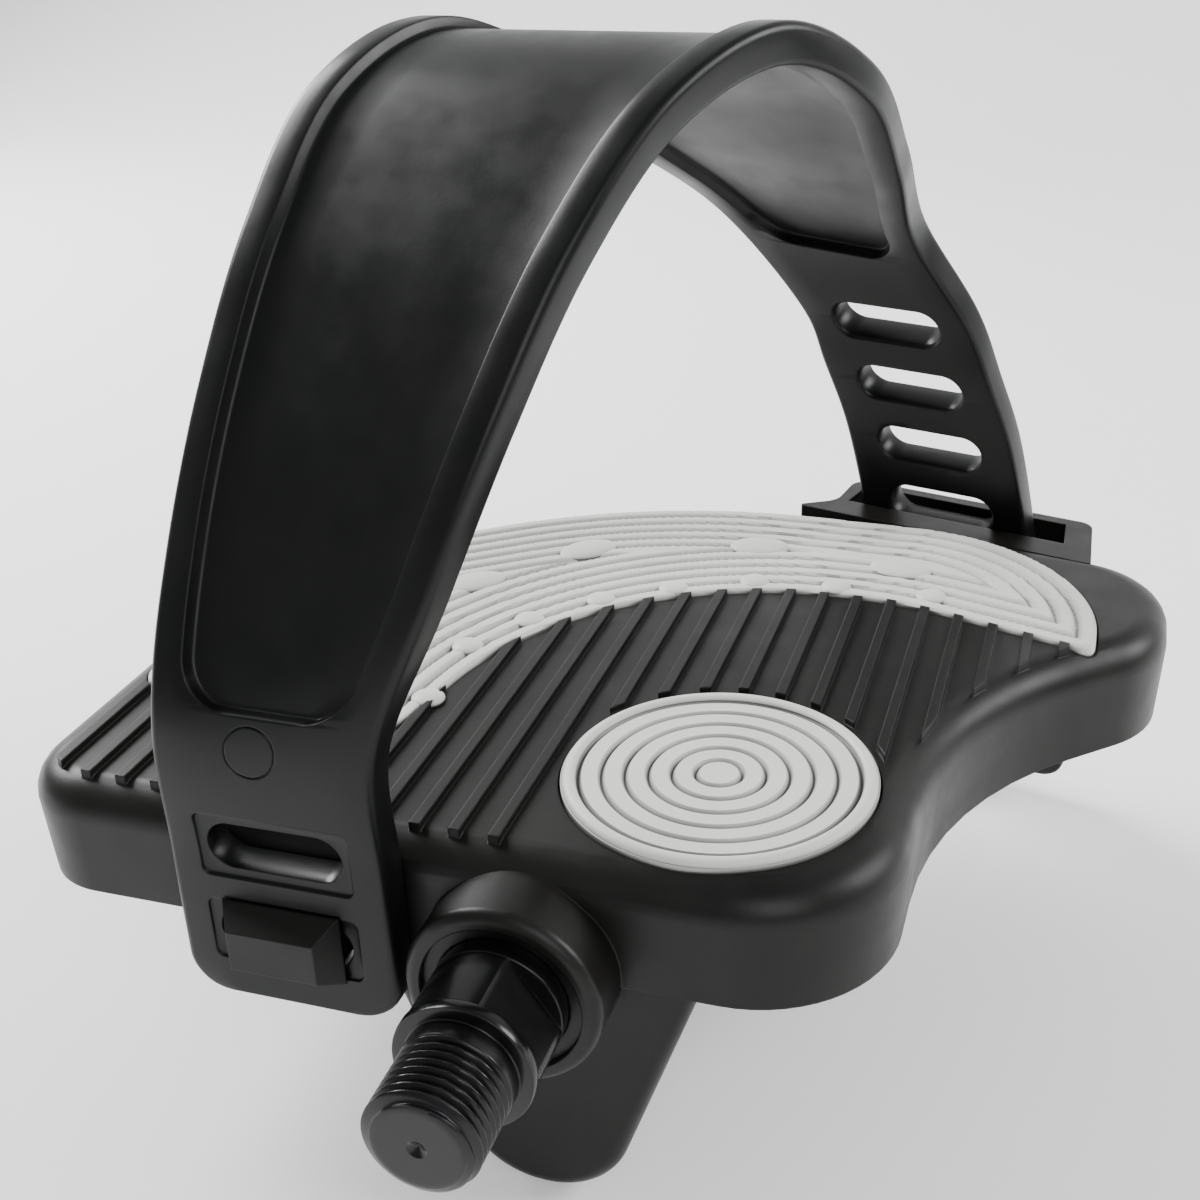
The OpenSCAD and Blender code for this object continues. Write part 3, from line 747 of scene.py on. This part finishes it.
    def section(
        self,
        t: float,
        arc: float,
        length: float,
        marks: dict[str, tuple[float, float]],
    ) -> list[Point]:
        """Makes one closed section.

        Args:
            t: the place along the path in knots.
            arc: the same place in millimetres.
            length: the whole path in millimetres.
            marks: the first and last millimetre of the panel and of the hollow.

        Returns:
            The section's points, counter-clockwise about the run.
        """
        here, cross, out, _ = self.axes(t)
        half = self.leg_half + self.crest_extra * here[5]
        half -= self.bow(min(arc, length - arc), self.end_round)
        inner = max(1.0, self.leg_half + self.crest_extra * here[5] - self.rim)
        flat: list[tuple[float, float]] = []
        faces = (
            (1, 0.0, self.panel_depth, "panel", self.soft_edges[0]),
            (-1, -self.thick, self.hollow_depth, "hollow", self.soft_edges[1]),
        )
        for sign, level, depth, name, soft in faces:
            start, stop = marks[name]
            inside = min(arc - start, stop - arc)
            share = min(1.0, max(self.least_sink, inside / self.sink_run))
            share = share * share * (3 - 2 * share)
            g = inner - self.bow(inside, self.panel_round)
            g = min(g, half - self.least_rim)
            d = depth * share
            side = [(half, -0.5 * self.thick), (half, -soft)]
            side += [(half - a * soft, -b * soft) for a, b in self.rounding]
            side += [(half - soft, 0.0), (0.5 * (half - soft + g + self.wall[0][0]), 0.0)]
            side += [(g + a, -b * d) for a, b in self.wall]
            side += [(0.66 * g, -d), (0.33 * g, -d)]
            mirrored = [(-u, h) for u, h in reversed(side)]
            row = side + [(0.0, -d)] + mirrored
            flat += [(-sign * u, level + sign * h) for u, h in row][:-1]
        return [tuple(here[:3] + cross * u + out * h) for u, h in flat]

    def arcs(self) -> tuple[np.ndarray, np.ndarray]:
        """Measures the path.

        Returns:
            Fine places along it in knots and in millimetres.
        """
        places = np.linspace(0, len(self.knots) - 1, self.path_samples)
        line = np.array([self.at(float(t))[:3] for t in places])
        steps = np.linalg.norm(np.diff(line, axis=0), axis=1)
        return places, np.concatenate([[0], np.cumsum(steps)])

    def cutter(
        self,
        name: str,
        t: float,
        size: tuple[float, float],
        levels: Sequence[tuple[float, float]],
        square: bool = False,
    ) -> bpy.types.Object:
        """Makes a cutter across the strap with flared mouths.

        Args:
            name: the object's name.
            t: the place along the path in knots.
            size: length and width of the opening.
            levels: height over the outer face, and growth there.
            square: True for a rectangle with small corners.

        Returns:
            The cutter.
        """
        here, cross, out, run = self.axes(t)
        up = np.cross(out, cross)
        points: list[Point] = []
        count = self.cutter_points
        for height, grow in levels:
            round_by = (self.frame_corner if square else size[1] / 2) + grow
            a, b = size[0] / 2 + grow - round_by, size[1] / 2 + grow - round_by
            for k in range(count):
                turn = 2 * math.pi * (k + 0.5) / count
                c, s = math.cos(turn), math.sin(turn)
                x = math.copysign(a, c) + round_by * c
                y = math.copysign(b, s) + round_by * s
                points.append(tuple(here[:3] + cross * x + up * y + out * height))
        return mesh_object(name, points, ring_faces(len(levels), count))

    def build(self) -> list[tuple[bpy.types.Object, Slot]]:
        """Builds the strap and cuts its holes, frames and mould mark.

        Returns:
            The strap with its slot.
        """
        places, arcs = self.arcs()
        length = float(arcs[-1])

        def reach(t: float) -> float:
            """Turns a place in knots into millimetres."""
            return float(np.interp(t, places, arcs))

        marks = {
            "panel": (reach(self.panel_span[0]), reach(self.panel_span[1])),
            "hollow": (reach(self.hollow_span[0]), reach(self.hollow_span[1])),
        }
        stops = set(np.round(np.arange(0.0, length, self.ring_gap), 3))
        for edge in (0.0, length, *marks["panel"], *marks["hollow"]):
            stops |= {
                round(min(length, max(0.0, edge + side * gap)), 3)
                for gap in self.edge_gaps
                for side in (-1, 1)
            }
        line = sorted(stops)
        line = [a for k, a in enumerate(line) if k == 0 or a - line[k - 1] > 0.05]
        rings = [self.section(float(np.interp(a, arcs, places)), a, length, marks) for a in line]
        points = [p for ring in rings for p in ring]
        piece = mesh_object("strap_moulding", points, ring_faces(len(rings), len(rings[0])))
        through = [(-self.thick - height, grow) for height, grow in self.mouth]
        through += list(self.mouth)[::-1]
        hook = reach(self.hook_knot)
        holes = [self.first_hole, self.first_hole + self.pitch]
        holes += [hook - k * self.pitch for k in self.far_holes]
        framed = (self.hole[0] + self.frame_margin[0], self.hole[1] + self.frame_margin[1])
        for number, arc in enumerate(holes):
            t = float(np.interp(arc, arcs, places))
            carve(piece, self.cutter(f"hole_{number}", t, self.hole, through))
            if number < 2:
                carve(piece, self.cutter(f"frame_{number}", t, framed, self.frame_levels, True))
        self.mark(piece, places, arcs)
        smooth(piece, 38)
        return [(piece, Slot.BLACK)]

    def mark(self, piece: bpy.types.Object, places: np.ndarray, arcs: np.ndarray) -> None:
        """Cuts the round mould mark's fine groove over the upper near hole.

        Args:
            piece: the strap.
            places: fine places along the path in knots.
            arcs: the same places in millimetres.
        """
        around, tube = self.mark_points
        points: list[Point] = []
        for i in range(around):
            a = 2 * math.pi * i / around
            along = self.mark_place[1] + self.mark_radius * math.sin(a)
            here, cross, out, _ = self.axes(float(np.interp(along, arcs, places)))
            up = np.cross(out, cross)
            middle = here[:3] + cross * (self.mark_place[0] + self.mark_radius * math.cos(a))
            for j in range(tube):
                b = 2 * math.pi * j / tube
                spread = cross * math.cos(a) + up * math.sin(a)
                across = spread * self.mark_groove * math.cos(b)
                points.append(tuple(middle + across + out * self.mark_depth * math.sin(b)))
        faces = [
            [
                i * tube + j,
                i * tube + (j + 1) % tube,
                ((i + 1) % around) * tube + (j + 1) % tube,
                ((i + 1) % around) * tube + j,
            ]
            for i in range(around)
            for j in range(tube)
        ]
        ring = mesh_object("mark_ring", points, faces)
        outward(ring)
        carve(piece, ring)


class StudTree:
    """A node tree that stands a rounded stud on every point of a mesh."""

    def __init__(self, segments: int = 40, rings: int = 20) -> None:
        """Builds the tree with its named inputs.

        Args:
            segments: faces round a stud.
            rings: faces from pole to pole.
        """
        self.tree = bpy.data.node_groups.new("studs", "GeometryNodeTree")
        face = self.tree.interface
        face.new_socket("Points", in_out="INPUT", socket_type="NodeSocketGeometry")
        self.segments = face.new_socket("Segments", in_out="INPUT", socket_type="NodeSocketInt")
        self.rings = face.new_socket("Rings", in_out="INPUT", socket_type="NodeSocketInt")
        self.material = face.new_socket("Material", in_out="INPUT", socket_type="NodeSocketMaterial")
        face.new_socket("Studs", in_out="OUTPUT", socket_type="NodeSocketGeometry")
        self.counts = (segments, rings)
        start = add_node(self.tree, "NodeGroupInput").outputs
        ball = add_node(
            self.tree,
            "GeometryNodeMeshUVSphere",
            {"Segments": start["Segments"], "Rings": start["Rings"], "Radius": 1.0},
        )
        size, turn = (
            add_node(
                self.tree,
                "GeometryNodeInputNamedAttribute",
                {"Name": name},
                data_type="FLOAT_VECTOR",
            )
            for name in ("size", "turn")
        )
        placed = add_node(
            self.tree,
            "GeometryNodeInstanceOnPoints",
            {
                "Points": start["Points"],
                "Instance": ball.outputs["Mesh"],
                "Rotation": turn.outputs["Attribute"],
                "Scale": size.outputs["Attribute"],
            },
        )
        real = add_node(
            self.tree, "GeometryNodeRealizeInstances", {"Geometry": placed.outputs["Instances"]}
        )
        soft = add_node(self.tree, "GeometryNodeSetShadeSmooth", {"Geometry": real.outputs["Geometry"]})
        done = add_node(
            self.tree,
            "GeometryNodeSetMaterial",
            {"Geometry": soft.outputs["Geometry"], "Material": start["Material"]},
        )
        add_node(self.tree, "NodeGroupOutput", {"Studs": done.outputs["Geometry"]})

    def grow(
        self,
        name: str,
        studs: Sequence[tuple[Point, Point, float]],
        paint: bpy.types.Material,
    ) -> bpy.types.Object:
        """Makes one mesh of all studs.

        Args:
            name: the piece's name.
            studs: centre, half sizes and turn in degrees of each stud, in millimetres.
            paint: the studs' material.

        Returns:
            The finished piece without modifiers.
        """
        piece = mesh_object(name, [stud[0] for stud in studs], [])
        size = piece.data.attributes.new("size", "FLOAT_VECTOR", "POINT")
        turn = piece.data.attributes.new("turn", "FLOAT_VECTOR", "POINT")
        size.data.foreach_set("vector", [c * MM for stud in studs for c in stud[1]])
        turn.data.foreach_set("vector", [c for stud in studs for c in (0.0, 0.0, math.radians(stud[2]))])
        modifier = piece.modifiers.new("studs", "NODES")
        modifier.node_group = self.tree
        modifier[self.segments.identifier] = self.counts[0]
        modifier[self.rings.identifier] = self.counts[1]
        modifier[self.material.identifier] = paint
        bpy.context.view_layer.update()
        return baked(piece)


@dataclass
class CrescentPad(Piece):
    """The large pad: fine ridges that follow its edge, with studs standing among them."""

    floor: float = 13.6
    top: float = 15.7
    rim: float = 2.3
    ridge_pitch: float = 3.1
    groove: float = 1.1
    groove_depth: float = 0.75
    groove_reach: float = 0.62
    groove_power: float = 1.6
    rim_share: float = 0.6
    edge_drop: float = 0.45
    edge_run: float = 0.6
    edge_clear: float = 0.3
    stud_sink: float = 0.35
    grid: float = 0.5
    row_share: float = 0.866
    large_size: Point = (5.2, 3.4, 1.0)
    small_size: Point = (2.5, 2.5, 0.95)
    large: tuple[Point, ...] = (
        (-33.9, 91.8, 40.0),
        (-19.7, 108.4, 40.0),
        (8.6, 116.3, 8.0),
        (33.0, 113.0, -6.0),
    )
    small: tuple[tuple[float, float], ...] = (
        (-26.2, 54.0),
        (-26.6, 70.2),
        (-20.5, 80.9),
        (-11.7, 90.3),
        (-1.4, 97.2),
        (10.8, 102.7),
        (24.0, 103.8),
        (39.2, 103.9),
    )
    plan: tuple[Corner, ...] = (
        (64.8, 91.2, 2),
        (64.6, 128.8, 33),
        (-13.5, 132.2, 84),
        (-71, 90.4, 42),
        (-71, 46, 8),
        (-27.3, 43, 6),
        (-18.5, 101.5, 50),
        (34, 101.3, 52),
    )
    paint: Paint | None = None

    def stands_for(self) -> tuple[str, ...]:
        """Names the pad's CAD node."""
        return ("crescent_pad",)

    def height(self, depth: np.ndarray) -> np.ndarray:
        """Returns the pad's top at each point.

        Args:
            depth: distance of each point from the outline.

        Returns:
            The heights in millimetres.
        """
        first = self.rim + self.groove / 2
        wave = np.abs(((depth - first + self.ridge_pitch / 2) % self.ridge_pitch) - self.ridge_pitch / 2)
        share = np.clip((wave / (self.groove * self.groove_reach)), 0, 1)
        cut = 0.5 + 0.5 * np.cos(np.pi * share**self.groove_power)
        z = self.top - self.groove_depth * cut * (depth > self.rim * self.rim_share)
        return z - self.edge_drop * np.clip(1 - depth / self.edge_run, 0, 1) ** 2

    @staticmethod
    def depths(points: np.ndarray, edge: np.ndarray) -> np.ndarray:
        """Measures how far each point lies from a closed polygon.

        Args:
            points: the points.
            edge: the polygon's corners.

        Returns:
            The distances in millimetres.
        """
        out = np.full(len(points), 1e9)
        for a, b in zip(edge, np.roll(edge, -1, 0)):
            d = b - a
            t = np.clip(((points - a) @ d) / max(1e-9, float(d @ d)), 0, 1)
            out = np.minimum(out, np.linalg.norm(points - a - t[:, None] * d, axis=1))
        return out

    def lattice(self, edge: np.ndarray) -> np.ndarray:
        """Lays points inside the outline.

        Args:
            edge: the outline's points.

        Returns:
            The points of a triangular grid that lie clear inside it.
        """
        lo, hi = edge.min(0), edge.max(0)
        xs = np.arange(lo[0], hi[0], self.grid)
        ys = np.arange(lo[1], hi[1], self.grid * self.row_share)
        gx, gy = np.meshgrid(xs, ys)
        gx = gx + (np.arange(len(ys)) % 2)[:, None] * self.grid / 2
        grid = np.stack([gx.ravel(), gy.ravel()], 1)
        inside = np.zeros(len(grid), bool)
        for a, b in zip(edge, np.roll(edge, -1, 0)):
            span = (a[1] > grid[:, 1]) != (b[1] > grid[:, 1])
            cross = (b[0] - a[0]) * (grid[:, 1] - a[1]) / (b[1] - a[1] + 1e-12) + a[0]
            inside ^= span & (grid[:, 0] < cross)
        grid = grid[inside]
        return grid[self.depths(grid, edge) > self.edge_clear]

    def build(self) -> list[tuple[bpy.types.Object, Slot]]:
        """Builds the ridged pad inside its outline, and the studs on it.

        Returns:
            The pad and its studs with their slots.
        """
        edge = np.array(Outline(self.plan).points(step=2.0, straight=1.0))
        plan = np.vstack([edge, self.lattice(edge)])
        n = len(edge)
        loop = [(i, (i + 1) % n) for i in range(n)]
        outline = [list(range(n))]
        verts, _, faces, _, _, _ = delaunay_2d_cdt([Vector(p) for p in plan], loop, outline, 1, 1e-6)
        flat = np.array([(v.x, v.y) for v in verts])
        z = self.height(self.depths(flat, edge))
        points: list[Point] = [(float(x), float(y), float(h)) for (x, y), h in zip(flat, z)]
        base = len(points)
        points += [(float(x), float(y), self.floor) for x, y in edge]
        walls = [[base + i, base + (i + 1) % n, (i + 1) % n, i] for i in range(n)]
        under = [base + i for i in range(n)][::-1]
        piece = mesh_object("crescent_moulding", points, [*faces, *walls, under])
        smooth(piece, 50)
        sunk = self.top - self.stud_sink
        studs = [((x, y, sunk), self.large_size, turn) for x, y, turn in self.large]
        studs += [((x, y, sunk), self.small_size, 0.0) for x, y in self.small]
        grown = StudTree().grow("crescent_studs", studs, self.paint.get(Slot.LIGHT))
        return [(piece, Slot.LIGHT), (grown, Slot.LIGHT)]


@dataclass
class Spindle(Piece):
    """The spindle: a turned profile with the crank thread cut as a true helix."""

    body: Body = Body.SPINDLE
    thread_r: float = 7.14
    thread_len: float = 11.8
    nose_r: float = 5.8
    nose_len: float = 1.0
    pitch: float = 1.27
    thread_depth: float = 0.72
    runout: float = 2.2
    flange_r: float = 8.9
    flange_t: float = 1.8
    neck_r: float = 8.7
    flat: float = 6.5
    flat_end: float = 10.5
    flat_turn: float = -34.0
    neck_end: float = 15.0
    seat_r: float = 7.6
    seat_end: float = 17.6
    shaft_r: float = 5.5
    shaft_start: float = 19.3
    tail_r: float = 4.0
    tail_start: float = 88.0
    tail_end: float = 101.7
    turns_faces: int = 14
    crest_share: float = 0.14
    flank_share: float = 0.74
    around: int = 160

    def stands_for(self) -> tuple[str, ...]:
        """Names the spindle's CAD node."""
        return ("spindle",)

    def radius(self, y: float, turn: float) -> float:
        """Returns the radius in the threaded length.

        Args:
            y: place along the axis.
            turn: angle about the axis, from +Z towards +X.

        Returns:
            The radius in millimetres.
        """
        base = self.thread_r
        start = -self.thread_len - self.nose_len
        if y < -self.thread_len:
            base = self.nose_r + (self.thread_r - self.nose_r) * (y - start) / self.nose_len
        phase = (y / self.pitch - turn / (2 * math.pi)) % 1.0
        wave = 1 - abs(2 * phase - 1)
        cut = max(0.0, min(1.0, (wave - self.crest_share) / self.flank_share))
        fade = max(0.0, min(1.0, (-self.runout - y) / (0.7 * self.pitch)))
        return max(self.nose_r * 0.98, base - self.thread_depth * cut * fade)

    def rows(self) -> list[tuple[float, Callable[[float], float]]]:
        """Lists the rings of the surface, from the tip to the tail.

        Returns:
            Each ring's place along the axis and its radius by angle.
        """
        tip = -self.thread_len - self.nose_len
        out: list[tuple[float, Callable[[float], float]]] = []

        def plain(y: float, r: float) -> None:
            """Adds a round ring."""
            out.append((y, lambda _: r))

        for y, r in (
            (tip + 0.7, 0.05),
            (tip + 0.62, 0.2),
            (tip + 0.06, 1.15),
            (tip, 1.25),
            (tip, 3.0),
            (tip, 5.0),
            (tip, self.nose_r - 0.3),
        ):
            plain(y, r)
        plain(tip + 0.08, self.nose_r - 0.06)
        steps = int((self.thread_len + self.nose_len - 0.25) / (self.pitch / self.turns_faces))
        for k in range(steps + 1):
            y = tip + 0.2 + k * (self.thread_len + self.nose_len - 0.35) / steps
            out.append((y, lambda a, y=y: self.radius(y, a)))
        for y, r in (
            (-0.12, self.thread_r),
            (0.0, self.thread_r + 0.15),
            (0.0, self.flange_r - 0.35),
            (0.1, self.flange_r - 0.1),
            (0.35, self.flange_r),
            (self.flange_t - 0.3, self.flange_r),
            (self.flange_t - 0.08, self.flange_r - 0.08),
            (self.flange_t, self.flange_r - 0.25),
        ):
            plain(y, r)
        for y in (self.flange_t + 0.02, 3.0, 5.0, 7.0, 9.0, self.flat_end - 0.05):
            out.append((y, self.flatted))
        for y, r in (
            (self.flat_end, self.neck_r - 0.12),
            (self.flat_end + 0.15, self.neck_r),
            (self.neck_end - 0.2, self.neck_r),
            (self.neck_end, self.neck_r - 0.2),
            (self.neck_end, self.seat_r),
            (self.seat_end, self.seat_r),
            (self.seat_end + 0.4, 6.55),
            (self.seat_end + 1.1, 5.85),
            (self.shaft_start, 5.69),
            (self.shaft_start, self.shaft_r),
            (self.tail_start, self.shaft_r),
            (self.tail_start, self.tail_r),
            (self.tail_end - 0.3, self.tail_r),
            (self.tail_end, self.tail_r - 0.3),
            (self.tail_end, 0.3),
        ):
            plain(y, r)
        return out

    def flatted(self, turn: float) -> float:
        """Returns the neck's radius where the two wrench flats are."""
        lean = abs(math.cos(turn - math.radians(self.flat_turn + 90)))
        return min(self.neck_r, self.flat / max(lean, 1e-6))

    def build(self) -> list[tuple[bpy.types.Object, Slot]]:
        """Builds the spindle's surface ring by ring.

        Returns:
            The spindle with its slot.
        """
        points: list[Point] = []
        rows = self.rows()
        for y, radius in rows:
            for k in range(self.around):
                turn = 2 * math.pi * k / self.around
                r = radius(turn)
                points.append((r * math.sin(turn), y, r * math.cos(turn)))
        piece = mesh_object("spindle_turned", points, ring_faces(len(rows), self.around))
        smooth(piece, 30)
        return [(piece, Slot.OXIDE)]


@dataclass
class CadParts:
    """The CAD nodes that keep their form: each is shown by a merged copy with soft shading."""

    angle: float = 32.0
    merge_m: float = 2e-6
    flat_angle: float = 0.002
    nodes: dict[str, tuple[Slot, Body]] = field(
        default_factory=lambda: {
            "platform": (Slot.NYLON, Body.PEDAL),
            "round_pad": (Slot.LIGHT, Body.PEDAL),
            "counterweight": (Slot.WEIGHT, Body.PEDAL),
            "keel_cover": (Slot.NYLON, Body.PEDAL),
            "cover_screws": (Slot.ZINC, Body.PEDAL),
            "inner_cup": (Slot.BEARING, Body.PEDAL),
            "outer_cup": (Slot.BEARING, Body.PEDAL),
            "end_cap": (Slot.NYLON, Body.PEDAL),
            "lip_seal": (Slot.BLACK, Body.PEDAL),
            "inner_balls": (Slot.BEARING, Body.INNER_BALLS),
            "inner_cage": (Slot.CAGE, Body.INNER_BALLS),
            "outer_balls": (Slot.BEARING, Body.OUTER_BALLS),
            "outer_cage": (Slot.CAGE, Body.OUTER_BALLS),
            "adjusting_cone": (Slot.BEARING, Body.SPINDLE),
            "lock_washer": (Slot.ZINC, Body.SPINDLE),
            "locknut": (Slot.ZINC, Body.SPINDLE),
        }
    )

    def soft_copy(self, node: bpy.types.Object) -> bpy.types.Object:
        """Copies a node's mesh, merges it and shades it by area and angle.

        Args:
            node: the CAD node.

        Returns:
            The copy, at the origin.
        """
        mesh = bpy.data.meshes.new(f"{node.name}_soft")
        mesh.from_pydata(
            [tuple(node.matrix_world @ v.co) for v in node.data.vertices],
            [],
            [tuple(f.vertices) for f in node.data.polygons],
        )
        work = bmesh.new()
        work.from_mesh(mesh)
        bmesh.ops.remove_doubles(work, verts=work.verts, dist=self.merge_m)
        bmesh.ops.dissolve_limit(
            work, angle_limit=self.flat_angle, verts=work.verts, edges=work.edges
        )
        work.to_mesh(mesh)
        work.free()
        piece = bpy.data.objects.new(f"{node.name}_soft", mesh)
        bpy.context.scene.collection.objects.link(piece)
        smooth(piece, self.angle)
        shade = piece.modifiers.new("normals", "WEIGHTED_NORMAL")
        shade.mode = "FACE_AREA_WITH_ANGLE"
        shade.keep_sharp = True
        bpy.context.view_layer.update()
        return baked(piece)

    def dress(self, found: dict[str, bpy.types.Object], paint: Paint) -> None:
        """Gives each CAD node its copy and its finish.

        Args:
            found: the frame's nodes by name.
            paint: the source of the materials.
        """
        for name, (slot, body) in self.nodes.items():
            material = paint.get(slot)
            found[name].data.materials.clear()
            found[name].data.materials.append(material)
            piece = self.soft_copy(found[name])
            piece.data.materials.clear()
            piece.data.materials.append(material)
            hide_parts(name)
            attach(piece, body.value)
            LOG.info("%s: %s, %d faces", name, slot.value, len(piece.data.polygons))


# Studio


@dataclass(frozen=True)
class Lamp:
    """One soft square light, with its places and side in millimetres."""

    name: str
    place: Point
    aim: Point
    size: float
    watts: float

    def hang(self) -> None:
        """Adds the light to the scene."""
        data = bpy.data.lights.new(self.name, "AREA")
        data.shape = "SQUARE"
        data.size = self.size * MM
        data.energy = self.watts
        light = bpy.data.objects.new(self.name, data)
        light.location = Vector(self.place) * MM
        turn = (Vector(self.aim) - Vector(self.place)).to_track_quat("-Z", "Y")
        light.rotation_euler = turn.to_euler()
        bpy.context.scene.collection.objects.link(light)


@dataclass
class Studio:
    """The camera that the photograph was matched with, a pale floor and soft lights."""

    place: Point = (62.67, -126.88, 129.06)
    azimuth: float = 18.93
    elevation: float = 26.34
    roll: float = -2.29
    lens: float = 47.67
    sensor: float = 36.0
    floor: float = -41.2
    floor_near: float = -1500.0
    floor_far: float = 700.0
    bend: float = 500.0
    bend_step: int = 6
    wall_top: float = 2600.0
    half_width: float = 2600.0
    sky: str = "#f4f6f8"
    sky_strength: float = 0.42
    lamps: tuple[Lamp, ...] = (
        Lamp("key", (-720, 360, 560), (0, 60, 30), 480, 17.0),
        Lamp("rim", (820, 330, 520), (0, 70, 40), 420, 8.0),
        Lamp("fill", (500, -800, 700), (0, 40, 10), 700, 6.0),
    )

    def camera(self) -> None:
        """Places the camera."""
        data = bpy.data.cameras.new("camera")
        data.lens = self.lens
        data.sensor_width = self.sensor
        data.clip_start = 0.01
        data.clip_end = 20.0
        seen = bpy.data.objects.new("camera", data)
        a, e, o = (math.radians(v) for v in (self.azimuth, self.elevation, self.roll))
        forward = Vector((-math.sin(a) * math.cos(e), math.cos(a) * math.cos(e), -math.sin(e)))
        level = Vector((math.cos(a), math.sin(a), 0.0))
        upright = level.cross(forward)
        right = level * math.cos(o) + upright * math.sin(o)
        up = upright * math.cos(o) - level * math.sin(o)
        turn = Matrix((right, up, -forward)).transposed().to_4x4()
        seen.matrix_world = Matrix.Translation(Vector(self.place) * MM) @ turn
        bpy.context.scene.collection.objects.link(seen)
        bpy.context.scene.camera = seen

    def stage(self) -> None:
        """Lays a pale floor that bends up behind the pedal."""
        rows = [(self.floor_near, self.floor), (self.floor_far, self.floor)]
        for degrees in range(self.bend_step, 91, self.bend_step):
            a = math.radians(degrees)
            rows.append(
                (self.floor_far + self.bend * math.sin(a), self.floor + self.bend * (1 - math.cos(a)))
            )
        rows.append((self.floor_far + self.bend, self.wall_top))
        points = [(x, y, z) for y, z in rows for x in (-self.half_width, self.half_width)]
        faces = [[2 * k, 2 * k + 1, 2 * k + 3, 2 * k + 2] for k in range(len(rows) - 1)]
        floor = mesh_object("studio_floor", points, faces)
        smooth(floor, 60)
        floor.data.materials.append(PAPER.build())

    def build(self) -> None:
        """Sets camera, stage, world and lights."""
        self.camera()
        self.stage()
        world = bpy.data.worlds.new("studio")
        world.use_nodes = True
        world.node_tree.nodes.clear()
        glow = add_node(
            world.node_tree,
            "ShaderNodeBackground",
            {"Color": linear(self.sky), "Strength": self.sky_strength},
        )
        add_node(world.node_tree, "ShaderNodeOutputWorld", {"Surface": glow.outputs["Background"]})
        bpy.context.scene.world = world
        for lamp in self.lamps:
            lamp.hang()


def main() -> None:
    """Builds every piece in order and finishes the frame."""
    logging.basicConfig(level=logging.INFO, format="%(name)s %(message)s")
    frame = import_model()
    paint = Paint()
    Studio().build()
    CadParts().dress(frame["nodes"], paint)
    for piece in (Strap(), CrescentPad(paint=paint), Spindle()):
        piece.dress(paint)


if __name__ == "__main__":
    main()
